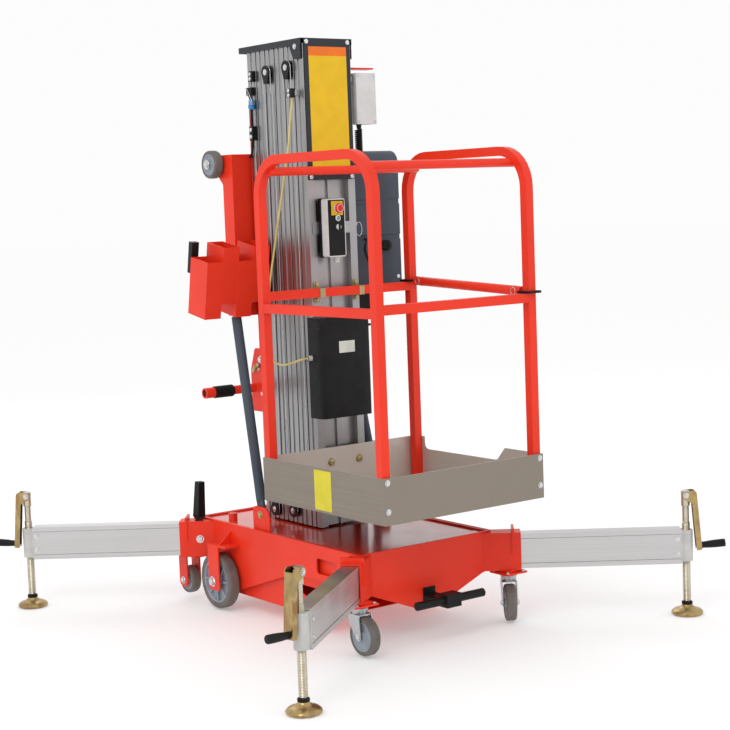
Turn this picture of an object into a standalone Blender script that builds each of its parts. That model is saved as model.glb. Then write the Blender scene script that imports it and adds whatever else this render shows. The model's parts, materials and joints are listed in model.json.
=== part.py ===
"""Vertical mast lift: a one-person platform on a telescoping mast, pushed about on wheels.

Metres. X points to the platform side, Y to the machine's left, Z up. The origin lies on
the floor between the four jack pads.
"""

import math

import bmesh
import bpy
from mathutils import Matrix, Vector

# Gaps between pieces
SEAT = 0.0003
RUNNING = 0.0006

# Chassis tub
PLATE = 0.006
FRONT_X = 0.465
REAR_X = -0.523
SIDE_Y = 0.280
TOP_Z = 0.310
DECK_Z = 0.303
DECK_PLATE = 0.005
RIM_WIDTH = 0.016
REAR_PLATE_Y = 0.300
REAR_EDGE_Z = 0.172
FRONT_EDGE_Z = 0.190
BELLY_EDGE_Z = 0.080
NOSE_Z = 0.100
NOSE_Y = 0.060
SHOULDER_Y = 0.235
SHOULDER_Z = 0.170
HAND_HOLE_X = 0.283
HAND_HOLE_Z = 0.240
HAND_HOLE_LENGTH = 0.115
HAND_HOLE_HEIGHT = 0.052
PAN_Z = 0.057
PAN_Y = 0.262
PAN_REAR_X = -0.330
PAN_FRONT_X = 0.240
PAN_PLATE = 0.004
PAN_LIP = 0.025
PAN_NOTCH_X = 0.020
INNER_LOW_Z = 0.155
INNER_END_X = 0.372

# Outriggers, one at each corner, seen along the beam from the jack's axis
JACK_X = 0.874
JACK_Y = 0.790
BEAM_ANGLE = math.radians(51.0)
BEAM_WIDTH = 0.055
BEAM_BOTTOM_Z = 0.180
BEAM_TOP_Z = 0.298
BEAM_WALL = 0.004
BEAM_RECESS = 0.0015
BEAM_BAND = 0.016
BEAM_END = 0.019
MOUTH_REACH = 0.557
SOCKET_LENGTH = 0.160
SOCKET_WALL = 0.005
SOCKET_GAP = 0.0008
COLLAR_LENGTH = 0.008
COLLAR_RISE = 0.006
NOSE_RADIUS = 0.0225
BLOCK_HEIGHT = 0.107
TONGUE_LENGTH = 0.063
TONGUE_BITE = 0.001
FLANGE_PLATE = 0.0055
BLOCK_BOLT_X = -0.033
BLOCK_BOLT_RISE = 0.026
BLOCK_BOLT_RADIUS = 0.006
SCREW_RADIUS = 0.014
HEAD_RADIUS = 0.0145
HEAD_LOW_Z = 0.374
SCREW_TOP_Z = 0.424
STEM_RADIUS = 0.0112
STEM_LOW_Z = 0.316
NECK_RING_RADIUS = 0.018
NECK_RING_Z = (0.037, 0.043)
# Jack pad: radius, height, from the neck down
PAD_PROFILE = (
    (0.0165, 0.0365),
    (0.0240, 0.0270),
    (0.0440, 0.0195),
    (0.0535, 0.0105),
    (0.0525, 0.0050),
    (0.0460, 0.0),
)
CRANK_PIVOT_Z = 0.410
CRANK_LENGTH = 0.190
CRANK_WIDTH = 0.036
CRANK_DEPTH = 0.018
CRANK_PLATE = 0.003
CRANK_STAND_OFF = 0.019
CRANK_LEAN = math.radians(4.5)
CRANK_GRIP_LENGTH = 0.080
CRANK_GRIP_NECK = 0.010
CRANK_GRIP_RADIUS = 0.0132
# Each crank's turn from the outward line of its beam, in degrees
CRANK_TURNS = {"front_right": -28.0, "front_left": 0.0, "rear_right": 0.0, "rear_left": -28.0}

# Wheels: radius, width, axle radius
WHEEL_CLEARANCE = 0.005
BIG_RADIUS = 0.100
BIG_WIDTH = 0.042
BIG_X = -0.340
BIG_Y = 0.310
BIG_AXLE = 0.008
BIG_SPOKES = 8
TIP_RADIUS = 0.050
TIP_WIDTH = 0.037
TIP_X = -0.550
TIP_Y = 0.310
TIP_Z = 0.076
TIP_AXLE = 0.006
CASTER_RADIUS = 0.0625
CASTER_WIDTH = 0.036
CASTER_X = 0.505
CASTER_Y = 0.315
CASTER_TRAIL = 0.026
CASTER_AXLE = 0.005
CASTER_TOP_Z = 0.163
CASTER_TURNS = (("right", -1, 0.0), ("left", 1, -35.0))
BRACKET_PLATE = 0.006
LEG_WIDTH = 0.068
LEG_BEHIND = 0.025
SHELF_AHEAD = 0.090
GUSSET_AHEAD = 0.036

# Telescoping mast
SECTION_COUNT = 6
MAST_REAR_X = -0.340
MAST_HALF = 0.100
SECTION_DEPTH = 0.053
SECTION_SPACING = 0.0055
SECTION_TOP_Z = 1.972
SECTION_LIFT = 0.006
SIDE_WALL = 0.006
REAR_SKIN = 0.005
WEB_X = 0.022
WEB = 0.006
LIP = 0.005
LIP_Y = 0.070
RIB = 0.008
RIB_HALF = 0.006
GROOVE_X = 0.020
GROOVE_WIDTH = 0.010
GROOVE_DEPTH = 0.003
STEM_Y = 0.066
HEAD_Y = 0.088
HEAD_DEPTH = 0.005
HEAD_GAP = 0.0005
# Chain sheaves bolted to the mast's right side: section, behind the section's middle, height
SHEAVES = (
    (2, 0.008, 0.344),
    (3, 0.008, 1.891),
    (4, 0.009, 0.353),
    (5, 0.000, 1.897),
)
SHEAVE_RADIUS = 0.024
SHEAVE_STAND_OFF = 0.004
SHEAVE_THICKNESS = 0.012
SHEAVE_TAIL = 0.040
SHEAVE_SHEET = 0.0025
SHEAVE_BOSS = 0.009
# Cable anchor: section, rear, front, bottom, top, stand-off, bolts' place along
ANCHORS = (
    (1, -0.3150, -0.2875, 1.866, 1.903, SEAT, -0.304),
    (6, -0.0440, -0.0120, 1.791, 1.822, 0.0245, -0.031),
)
ANCHOR_THICKNESS = 0.015
ANCHOR_BOLT_SPREAD = 0.008

# Top cap and front plate
CAP_REAR_X = -0.380
CAP_TOP_Z = 1.990
CAP_SHEET = 0.003
CAP_FOLD = 0.021
CAP_Y = 0.108
CHEEK_DROP = 0.048
CHEEK_LENGTH = 0.046
CHEEK_TOP = 0.072
CHEEK_BOLT_X = 0.034
CHEEK_BOLT_DROP = 0.006
SIGN_Y = 0.096
SIGN_BOTTOM_Z = 1.511
SIGN_TOP_Z = 1.9875
SIGN_PLATE = 0.004
SIGN_SCREW_INSET = 0.010

# Mast boxes
CONTROL_Y = (-0.061, 0.014)
CONTROL_Z = (1.247, 1.446)
CONTROL_DEPTH = 0.050
DOCUMENT_Y = (-0.126, 0.088)
DOCUMENT_Z = (0.698, 1.043)
DOCUMENT_DEPTH = 0.076
GLAND_AHEAD = 0.018
GLAND_Z = 0.906
GLAND_RADIUS = 0.008
GLAND_REACH = 0.018
ELECTRIC_Y = (0.120, 0.240)
ELECTRIC_Z = (1.700, 1.875)
ELECTRIC_DEPTH = 0.055
COVER_Y = (0.106, 0.340)
COVER_Z = (1.130, 1.610)
COVER_FRONT_X = -0.056
COVER_ROUND = 0.045

# Rear column
COLUMN_FRONT_X = -0.353
COLUMN_PLATE = 0.004
COLUMN_HALF = 0.175
COLUMN_FLANGE = 0.065
COLUMN_FLARE = 0.062
COLUMN_BOTTOM_Z = 1.040
COLUMN_FLARE_Z = (1.510, 1.572)
COLUMN_TOP_Z = 1.615
LOADING_RADIUS = 0.050
LOADING_WIDTH = 0.037
LOADING_X = -0.445
LOADING_Z = 1.583
LOADING_AXLE = 0.006

# Pocket bank for the stowed outriggers, in its own tilted frame
BANK_X = -0.362
BANK_Z = 1.066
BANK_TILT = math.radians(10.7)
BANK_OUTER_Y = -0.377
POCKET_COUNT = 4
POCKET_PITCH = 0.0625
POCKET_DEPTH = 0.112
POCKET_LENGTH = 0.200
POCKET_WALL = 0.0025
POCKET_RAISE = 0.050

# Struts and lugs
STRUT_RADIUS = 0.0175
STRUT_FOOT = (-0.130, 0.2515, 0.362)
STRUT_TOP = (-0.290, 0.2240)
LUG_Y = 0.260
LUG_X = (-0.177, -0.074)
LUG_TOP_Z = 0.390
LUG_PLATE = 0.006

# Push handles
HANDLE_X = -0.386
HANDLE_Z = 0.775
HANDLE_TUBE = 0.016
HANDLE_GRIP = 0.0215
HANDLE_GRIP_Y = (0.201, 0.318)
HANDLE_PLATE_Z = (0.690, 0.920)
HANDLE_PLATE_X = (-0.395, -0.300)
HANDLE_PLATE = 0.006

# Platform
TRAY_REAR_GAP = 0.0003
TRAY_FRONT_X = 0.677
TRAY_HALF = 0.330
TRAY_SHEET = 0.003
TRAY_BOTTOM_Z = 0.440
TRAY_TOP_Z = 0.587
ENTRY_TOP_Z = 0.542
ENTRY_X = (0.058, 0.449)
TREAD_HALF = 0.290
TREAD_INSET = 0.003
TREAD_RISE = 0.002
BEARER_Y = 0.150
BEARER_HALF = 0.020
BEARER_DEPTH = 0.035
BEARER_SETBACK = 0.200
RAIL = 0.030
RAIL_REAR_X = 0.0295
RAIL_FRONT_X = 0.652
RAIL_BEND = 0.120
RAIL_TOP_Z = 1.580
CROSS_INSET = 0.060
CROSS_Z = 1.541
CROSS_RADIUS = 0.0145
REAR_RAIL_Z = 1.128
SIDE_RAIL_Z = 1.090
FRONT_RAIL_Z = 1.100
GATE_RADIUS = 0.016
GATE_GAP = 0.005
GATE_LOOP = 0.008
GATE_NECK = 0.012
CLAMP_Y = 0.083
CLAMP_WIRE = 0.004

# Front lift handle
BAR_X = 0.575
BAR_Z = 0.138
BAR_RADIUS = 0.014
BAR_HALF = 0.140

# Finish: linear colour, roughness, metallic
FINISHES = {
    "red paint": ((0.80, 0.05, 0.02), 0.35, 0.0),
    "aluminium": ((0.55, 0.56, 0.57), 0.40, 1.0),
    "stainless": ((0.45, 0.42, 0.38), 0.35, 1.0),
    "dark grey paint": ((0.06, 0.07, 0.08), 0.45, 0.0),
    "blue grey paint": ((0.09, 0.12, 0.15), 0.45, 0.0),
    "black plastic": ((0.02, 0.02, 0.02), 0.50, 0.0),
    "white plastic": ((0.75, 0.75, 0.73), 0.45, 0.0),
    "grey rubber": ((0.20, 0.18, 0.16), 0.70, 0.0),
    "zinc": ((0.60, 0.48, 0.22), 0.35, 1.0),
    "yellow cable": ((0.60, 0.60, 0.25), 0.50, 0.0),
}

# Each plane's matrix takes an outline's two directions and its normal into space
PLANES = {
    "XY": Matrix(((1, 0, 0, 0), (0, 1, 0, 0), (0, 0, 1, 0), (0, 0, 0, 1))),
    "XZ": Matrix(((1, 0, 0, 0), (0, 0, -1, 0), (0, 1, 0, 0), (0, 0, 0, 1))),
    "YZ": Matrix(((0, 0, 1, 0), (1, 0, 0, 0), (0, 1, 0, 0), (0, 0, 0, 1))),
}
NORMALS = {"XY": Vector((0, 0, 1)), "XZ": Vector((0, 1, 0)), "YZ": Vector((1, 0, 0))}

# Corner: name, forward sign, left sign
CORNERS = (
    ("front_right", 1, -1),
    ("front_left", 1, 1),
    ("rear_right", -1, -1),
    ("rear_left", -1, 1),
)
SIDES = (("right", -1), ("left", 1))

for stale in list(bpy.data.objects):
    bpy.data.objects.remove(stale, do_unlink=True)
PARTS = bpy.data.collections.new("vertical_mast_lift")
bpy.context.scene.collection.children.link(PARTS)


# Modelling helpers
def solid_from(mesh):
    item = bpy.data.objects.new("piece", mesh)
    PARTS.objects.link(item)
    return item


def evaluated_mesh(item):
    bpy.context.view_layer.update()
    depsgraph = bpy.context.evaluated_depsgraph_get()
    return bpy.data.meshes.new_from_object(item.evaluated_get(depsgraph))


def bake(item):
    mesh = evaluated_mesh(item)
    item.modifiers.clear()
    item.data = mesh
    return item


def block(low, high):
    low = Vector(low)
    high = Vector(high)
    scale = Matrix.Diagonal((*(high - low), 1.0))
    mesh = bpy.data.meshes.new("block")
    shape = bmesh.new()
    bmesh.ops.create_cube(shape, size=1.0, matrix=Matrix.Translation((low + high) / 2) @ scale)
    shape.to_mesh(mesh)
    shape.free()
    return solid_from(mesh)


def rod(start, end, radius, sides=12, end_radius=None):
    start = Vector(start)
    run = Vector(end) - start
    turn = run.to_track_quat("Z", "Y").to_matrix().to_4x4()
    mesh = bpy.data.meshes.new("rod")
    shape = bmesh.new()
    bmesh.ops.create_cone(
        shape,
        cap_ends=True,
        segments=sides,
        radius1=radius,
        radius2=radius if end_radius is None else end_radius,
        depth=run.length,
        matrix=Matrix.Translation(start + run / 2) @ turn,
    )
    shape.to_mesh(mesh)
    shape.free()
    return solid_from(mesh)


def solid_from_curve(curve):
    source = bpy.data.objects.new("curve", curve)
    PARTS.objects.link(source)
    mesh = evaluated_mesh(source)
    shape = bmesh.new()
    shape.from_mesh(mesh)
    bmesh.ops.remove_doubles(shape, verts=shape.verts, dist=0.00001)
    bmesh.ops.recalc_face_normals(shape, faces=shape.faces)
    shape.to_mesh(mesh)
    shape.free()
    bpy.data.objects.remove(source)
    return solid_from(mesh)


def plate(outline, thickness, plane, middle, holes=()):
    curve = bpy.data.curves.new("outline", "CURVE")
    curve.dimensions = "2D"
    curve.fill_mode = "BOTH"
    curve.extrude = thickness / 2
    for loop in (outline, *holes):
        spline = curve.splines.new("POLY")
        spline.points.add(len(loop) - 1)
        spline.use_cyclic_u = True
        for point, (across, up) in zip(spline.points, loop):
            point.co = (across, up, 0.0, 1.0)
    item = solid_from_curve(curve)
    item.data.transform(Matrix.Translation(NORMALS[plane] * middle) @ PLANES[plane])
    return item


def pipe(points, radius, resolution=2, cyclic=False):
    curve = bpy.data.curves.new("pipe", "CURVE")
    curve.dimensions = "3D"
    curve.bevel_depth = radius
    curve.bevel_resolution = resolution
    curve.use_fill_caps = not cyclic
    spline = curve.splines.new("POLY")
    spline.points.add(len(points) - 1)
    spline.use_cyclic_u = cyclic
    for point, place in zip(spline.points, points):
        point.co = (*place, 1.0)
    return solid_from_curve(curve)


def turned(profile, steps, closed):
    """Sweeps a profile of radius and height about Z, its outer side listed from the top down."""
    count = len(profile)
    edges = [(index, index + 1) for index in range(count - 1)]
    if closed:
        edges.append((count - 1, 0))
    mesh = bpy.data.meshes.new("profile")
    mesh.from_pydata([(radius, 0.0, height) for radius, height in profile], edges, [])
    item = solid_from(mesh)
    screw = item.modifiers.new("turn", "SCREW")
    screw.steps = steps
    screw.render_steps = steps
    screw.use_merge_vertices = True
    screw.merge_threshold = 0.00001
    return bake(item)


def combine(base, others, operation="UNION"):
    operands = bpy.data.collections.new("operands")
    bpy.context.scene.collection.children.link(operands)
    for other in others:
        operands.objects.link(other)
        PARTS.objects.unlink(other)
    boolean = base.modifiers.new("combine", "BOOLEAN")
    boolean.operation = operation
    boolean.operand_type = "COLLECTION"
    boolean.collection = operands
    bake(base)
    for other in others:
        bpy.data.objects.remove(other, do_unlink=True)
    bpy.data.collections.remove(operands)
    shape = bmesh.new()
    shape.from_mesh(base.data)
    bmesh.ops.remove_doubles(shape, verts=shape.verts, dist=0.00002)
    bmesh.ops.dissolve_limit(
        shape, angle_limit=math.radians(0.2), verts=shape.verts, edges=shape.edges
    )
    shape.to_mesh(base.data)
    shape.free()
    return base


def fuse(*pieces):
    return combine(pieces[0], pieces[1:])


def cut(base, *cutters):
    return combine(base, cutters, "DIFFERENCE")


def moved(item, matrix):
    item.data.transform(matrix)
    if matrix.determinant() < 0.0:
        item.data.flip_normals()
    return item


def rounded(corners, steps=3):
    """Turns corners of across, up and radius into an outline with arcs."""
    outline = []
    count = len(corners)
    for index, (across, up, radius) in enumerate(corners):
        here = Vector((across, up))
        if radius == 0.0:
            outline.append(tuple(here))
            continue
        back = (Vector(corners[index - 1][:2]) - here).normalized()
        ahead = (Vector(corners[(index + 1) % count][:2]) - here).normalized()
        half = math.acos(max(-1.0, min(1.0, back.dot(ahead)))) / 2
        centre = here + (back + ahead).normalized() * radius / math.sin(half)
        first = here + back * radius / math.tan(half) - centre
        last = here + ahead * radius / math.tan(half) - centre
        sweep = first.angle_signed(last)
        for step in range(steps + 1):
            turn = -sweep * step / steps
            spun = Matrix.Rotation(turn, 2) @ first
            outline.append(tuple(centre + spun))
    return outline


def rectangle(low, high, radius=0.0):
    return rounded([
        (low[0], low[1], radius),
        (high[0], low[1], radius),
        (high[0], high[1], radius),
        (low[0], high[1], radius),
    ])


def bolt(place, direction, radius=0.007, height=0.005):
    place = Vector(place)
    direction = Vector(direction)
    return rod(place - direction * 0.001, place + direction * height, radius, 6)


def name_piece(item, name, finish, pivot=(0.0, 0.0, 0.0), carrier=None):
    """Names a solid, gives it its own material and puts its origin on its joint."""
    item.name = name
    item.data.name = name
    colour, roughness, metallic = FINISHES[finish]
    material = bpy.data.materials.new(name + "_" + finish.replace(" ", "_"))
    material.use_nodes = True
    shader = material.node_tree.nodes["Principled BSDF"]
    shader.inputs["Base Color"].default_value = (*colour, 1.0)
    shader.inputs["Roughness"].default_value = roughness
    shader.inputs["Metallic"].default_value = metallic
    item.data.materials.clear()
    item.data.materials.append(material)
    item.data.transform(Matrix.Translation(-Vector(pivot)))
    item.location = pivot
    item.data.shade_smooth()
    item.data.set_sharp_from_angle(angle=math.radians(35.0))
    if carrier is not None:
        bpy.context.view_layer.update()
        item.parent = carrier
        item.matrix_parent_inverse = carrier.matrix_world.inverted()
    return item


# Frame of a corner: X runs out along the beam from the jack's axis
def corner_frame(forward, left):
    turn = math.atan2(left * math.sin(BEAM_ANGLE), forward * math.cos(BEAM_ANGLE))
    place = Matrix.Translation((forward * JACK_X, left * JACK_Y, 0.0))
    return place @ Matrix.Rotation(turn, 4, "Z")


def bank_frame():
    return Matrix.Translation((BANK_X, 0.0, BANK_Z)) @ Matrix.Rotation(BANK_TILT, 4, "Y")


def section_x(index):
    return MAST_REAR_X + (index - 1) * (SECTION_DEPTH + SECTION_SPACING)


MAST_FRONT_X = section_x(SECTION_COUNT) + SECTION_DEPTH


# Chassis
def chassis_shell():
    side_outline = rounded([
        (REAR_X + 0.001, REAR_EDGE_Z, 0.0),
        (-0.400, REAR_EDGE_Z, 0.0),
        (-0.330, BELLY_EDGE_Z, 0.0),
        (-0.250, BELLY_EDGE_Z, 0.0),
        (0.090, FRONT_EDGE_Z, 0.0),
        (FRONT_X - 0.001, FRONT_EDGE_Z, 0.0),
        (FRONT_X - 0.001, TOP_Z, 0.012),
        (REAR_X + 0.001, TOP_Z, 0.0),
    ])
    hand_hole = rectangle(
        (HAND_HOLE_X - HAND_HOLE_LENGTH / 2, HAND_HOLE_Z - HAND_HOLE_HEIGHT / 2),
        (HAND_HOLE_X + HAND_HOLE_LENGTH / 2, HAND_HOLE_Z + HAND_HOLE_HEIGHT / 2),
        0.010,
    )
    front_outline = rounded([
        (-SIDE_Y, TOP_Z, 0.012),
        (-SIDE_Y, SHOULDER_Z + 0.008, 0.0),
        (-SHOULDER_Y, SHOULDER_Z, 0.0),
        (-NOSE_Y, NOSE_Z, 0.010),
        (NOSE_Y, NOSE_Z, 0.010),
        (SHOULDER_Y, SHOULDER_Z, 0.0),
        (SIDE_Y, SHOULDER_Z + 0.008, 0.0),
        (SIDE_Y, TOP_Z, 0.012),
    ])
    inner_top = DECK_Z - 0.002
    inner_outline = [
        (PAN_REAR_X, PAN_Z),
        (PAN_FRONT_X, PAN_Z),
        (PAN_FRONT_X, PAN_Z + PAN_LIP),
        (PAN_NOTCH_X, INNER_LOW_Z),
        (INNER_END_X, INNER_LOW_Z),
        (INNER_END_X, inner_top),
        (PAN_REAR_X, inner_top),
    ]
    pan_half = PAN_Y - 0.001
    pan_rear = PAN_REAR_X + 0.001
    pieces = [
        block((REAR_X + 0.002, -SIDE_Y + 0.001, DECK_Z - DECK_PLATE), (FRONT_X - 0.002, SIDE_Y - 0.001, DECK_Z)),
        plate(front_outline, PLATE, "YZ", FRONT_X - PLATE / 2),
        block((REAR_X, -REAR_PLATE_Y, REAR_EDGE_Z - 0.001), (REAR_X + PLATE, REAR_PLATE_Y, TOP_Z - 0.001)),
        block((REAR_X + 0.003, -SIDE_Y + 0.003, DECK_Z - 0.002), (REAR_X + RIM_WIDTH, SIDE_Y - 0.003, TOP_Z - 0.002)),
        block((pan_rear, -pan_half, PAN_Z + 0.001), (PAN_FRONT_X - 0.001, pan_half, PAN_Z + PAN_PLATE)),
        block((pan_rear, -pan_half, PAN_Z + 0.002), (pan_rear + PAN_PLATE, pan_half, inner_top - 0.001)),
    ]
    for _, left in SIDES:
        inner = left * (SIDE_Y - PLATE / 2)
        pieces.append(plate(side_outline, PLATE, "XZ", inner, [hand_hole]))
        rim = sorted((left * (SIDE_Y - 0.002), left * (SIDE_Y - RIM_WIDTH)))
        pieces.append(block((REAR_X + 0.004, rim[0], DECK_Z - 0.0015), (FRONT_X - 0.013, rim[1], TOP_Z - 0.001)))
        pieces.append(plate(inner_outline, PAN_PLATE, "XZ", left * (PAN_Y - PAN_PLATE / 2)))
    return pieces


def socket_outer(frame, side):
    half = BEAM_WIDTH / 2 + SOCKET_GAP + SOCKET_WALL
    low = BEAM_BOTTOM_Z - SOCKET_GAP - SOCKET_WALL
    high = BEAM_TOP_Z + SOCKET_GAP + SOCKET_WALL
    body = block((-MOUTH_REACH - SOCKET_LENGTH, -half, low), (-MOUTH_REACH, half, high))
    collar = block(
        (-MOUTH_REACH - 0.030, -half - COLLAR_RISE, low + 0.060),
        (-MOUTH_REACH - 0.030 + COLLAR_LENGTH, half + COLLAR_RISE, high + COLLAR_RISE * 2.5),
    )
    clamp = bolt((-MOUTH_REACH - 0.075, side * half, (low + high) / 2), (0, side, 0), 0.011, 0.007)
    return [moved(piece, frame) for piece in (body, collar, clamp)]


def socket_bore(frame):
    half = BEAM_WIDTH / 2 + SOCKET_GAP
    low = BEAM_BOTTOM_Z - SOCKET_GAP
    high = BEAM_TOP_Z + SOCKET_GAP
    bore = block((-MOUTH_REACH - SOCKET_LENGTH - 0.006, -half, low), (-MOUTH_REACH + 0.020, half, high))
    return moved(bore, frame)


def big_wheel_bracket(left):
    outer = BIG_Y + BIG_WIDTH / 2 + WHEEL_CLEARANCE + BRACKET_PLATE
    top = BIG_RADIUS * 2 + WHEEL_CLEARANCE + 0.035
    span = sorted((left * (SIDE_Y - 0.001), left * (outer - 0.001)))
    shelf = block((BIG_X - LEG_BEHIND + 0.001, span[0], top - BRACKET_PLATE), (BIG_X + SHELF_AHEAD, span[1], top))
    leg_low = BIG_RADIUS + WHEEL_CLEARANCE - 0.030
    leg_outline = rounded([
        (BIG_X - LEG_BEHIND, leg_low, 0.012),
        (BIG_X - LEG_BEHIND + LEG_WIDTH, leg_low, 0.012),
        (BIG_X - LEG_BEHIND + LEG_WIDTH, top - 0.001, 0.0),
        (BIG_X - LEG_BEHIND, top - 0.001, 0.0),
    ])
    leg = plate(leg_outline, BRACKET_PLATE, "XZ", left * (outer - BRACKET_PLATE / 2))
    gusset_outline = [
        (left * (SIDE_Y - 0.001), top - 0.002),
        (left * (outer - 0.008), top - 0.002),
        (left * (SIDE_Y - 0.001), top + 0.045),
    ]
    gusset = plate(gusset_outline, BRACKET_PLATE, "YZ", BIG_X + GUSSET_AHEAD)
    height = BIG_RADIUS + WHEEL_CLEARANCE
    axle = rod((BIG_X, left * (SIDE_Y - 0.002), height), (BIG_X, left * (outer + 0.002), height), BIG_AXLE)
    head = bolt((BIG_X, left * outer, height), (0, left, 0), 0.010, 0.007)
    return [shelf, leg, gusset, axle, head]


def tip_fork(left):
    gap = TIP_WIDTH / 2 + WHEEL_CLEARANCE
    top = REAR_EDGE_Z + 0.003
    pieces = []
    outline = rounded([
        (TIP_X - 0.027, TIP_Z - 0.024, 0.020),
        (TIP_X + 0.027, TIP_Z - 0.024, 0.020),
        (TIP_X + 0.027, top - 0.001, 0.0),
        (TIP_X - 0.027, top - 0.001, 0.0),
    ])
    for side in (-1, 1):
        middle = left * TIP_Y + side * (gap + BRACKET_PLATE / 2)
        pieces.append(plate(outline, BRACKET_PLATE, "XZ", middle))
        face = left * TIP_Y + side * (gap + BRACKET_PLATE)
        pieces.append(bolt((TIP_X, face, TIP_Z), (0, side, 0), 0.009, 0.006))
    reach = gap + BRACKET_PLATE
    ends = (left * TIP_Y - reach, left * TIP_Y + reach)
    pieces.append(block((TIP_X - 0.027, ends[0], top - BRACKET_PLATE), (REAR_X + 0.060, ends[1], top)))
    pieces.append(rod((TIP_X, ends[0] + 0.001, TIP_Z), (TIP_X, ends[1] - 0.001, TIP_Z), TIP_AXLE))
    return pieces


def caster_plate(left):
    low = BEAM_BOTTOM_Z - SOCKET_GAP - SOCKET_WALL
    pieces = [block(
        (CASTER_X - 0.045, left * CASTER_Y - 0.045, CASTER_TOP_Z + 0.0005),
        (CASTER_X + 0.045, left * CASTER_Y + 0.045, CASTER_TOP_Z + 0.0065),
    )]
    pieces.append(block(
        (CASTER_X - 0.055, left * CASTER_Y - 0.030, CASTER_TOP_Z + 0.0055),
        (CASTER_X + 0.030, left * CASTER_Y + 0.030, low + 0.002),
    ))
    for ahead in (-0.034, 0.034):
        for aside in (-0.034, 0.034):
            place = (CASTER_X + ahead, left * CASTER_Y + aside, CASTER_TOP_Z + 0.0065)
            pieces.append(bolt(place, (0, 0, 1), 0.006, 0.004))
    return pieces


def lug(left):
    middle = left * LUG_Y
    outline = rounded([
        (LUG_X[0], DECK_Z - 0.003, 0.0),
        (LUG_X[1], DECK_Z - 0.003, 0.0),
        (LUG_X[1], LUG_TOP_Z, 0.035),
        (LUG_X[0], LUG_TOP_Z, 0.020),
    ])
    face = left * (LUG_Y + LUG_PLATE / 2)
    stub_x = -0.380
    stub = rod((stub_x, left * 0.220, DECK_Z - 0.003), (stub_x, left * 0.220, 0.330), 0.016)
    return [
        plate(outline, LUG_PLATE, "XZ", middle),
        bolt((STRUT_FOOT[0], face, STRUT_FOOT[2]), (0, left, 0), 0.009, 0.006),
        stub,
    ]


def build_chassis():
    pieces = chassis_shell()
    frames = []
    for _, forward, left in CORNERS:
        frames.append(corner_frame(forward, left))
        pieces += socket_outer(frames[-1], forward * left)
    for _, left in SIDES:
        pieces += big_wheel_bracket(left)
        pieces += tip_fork(left)
        pieces += caster_plate(left)
        pieces += lug(left)
    chassis = fuse(*pieces)
    cut(chassis, *[socket_bore(frame) for frame in frames])
    return name_piece(chassis, "chassis_frame", "red paint")


# Wheels
def wheel_profile(radius, width, bore, tread, hub, web):
    half = width / 2
    rim = radius - tread
    return [
        (bore, half),
        (hub, half),
        (hub + 0.003, web),
        (rim - 0.006, web),
        (rim, half),
        (radius - 0.005, half),
        (radius, half * 0.55),
        (radius, -half * 0.55),
        (radius - 0.005, -half),
        (rim, -half),
        (rim - 0.006, -web),
        (hub + 0.003, -web),
        (hub, -half),
        (bore, -half),
    ]


def upright_wheel(profile, steps, spokes=(), centre=(0, 0, 0), heading=0.0):
    wheel = turned(profile, steps, True)
    if spokes:
        wheel = fuse(wheel, *spokes)
    turn = Matrix.Rotation(heading, 4, "Z") @ Matrix.Rotation(math.radians(90.0), 4, "X")
    return moved(wheel, Matrix.Translation(centre) @ turn)


def spoke_ribs(count, inner, outer, width, half_height):
    ribs = []
    for index in range(count):
        rib = block((inner, -width / 2, -half_height), (outer, width / 2, half_height))
        ribs.append(moved(rib, Matrix.Rotation(math.tau * index / count, 4, "Z")))
    return ribs


def build_wheels(chassis):
    for side, left in SIDES:
        centre = (BIG_X, left * BIG_Y, BIG_RADIUS + WHEEL_CLEARANCE)
        profile = wheel_profile(BIG_RADIUS, BIG_WIDTH, BIG_AXLE + RUNNING, 0.022, 0.022, 0.004)
        ribs = spoke_ribs(BIG_SPOKES, 0.021, BIG_RADIUS - 0.025, 0.007, BIG_WIDTH * 0.36)
        wheel = upright_wheel(profile, 24, ribs, centre)
        name_piece(wheel, "big_wheel_" + side, "grey rubber", centre, chassis)
        centre = (TIP_X, left * TIP_Y, TIP_Z)
        profile = wheel_profile(TIP_RADIUS, TIP_WIDTH, TIP_AXLE + RUNNING, 0.012, 0.014, 0.012)
        wheel = upright_wheel(profile, 14, (), centre)
        name_piece(wheel, "tip_wheel_" + side, "grey rubber", centre, chassis)
    for side, left, degrees in CASTER_TURNS:
        build_caster(chassis, side, left, math.radians(degrees))


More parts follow.
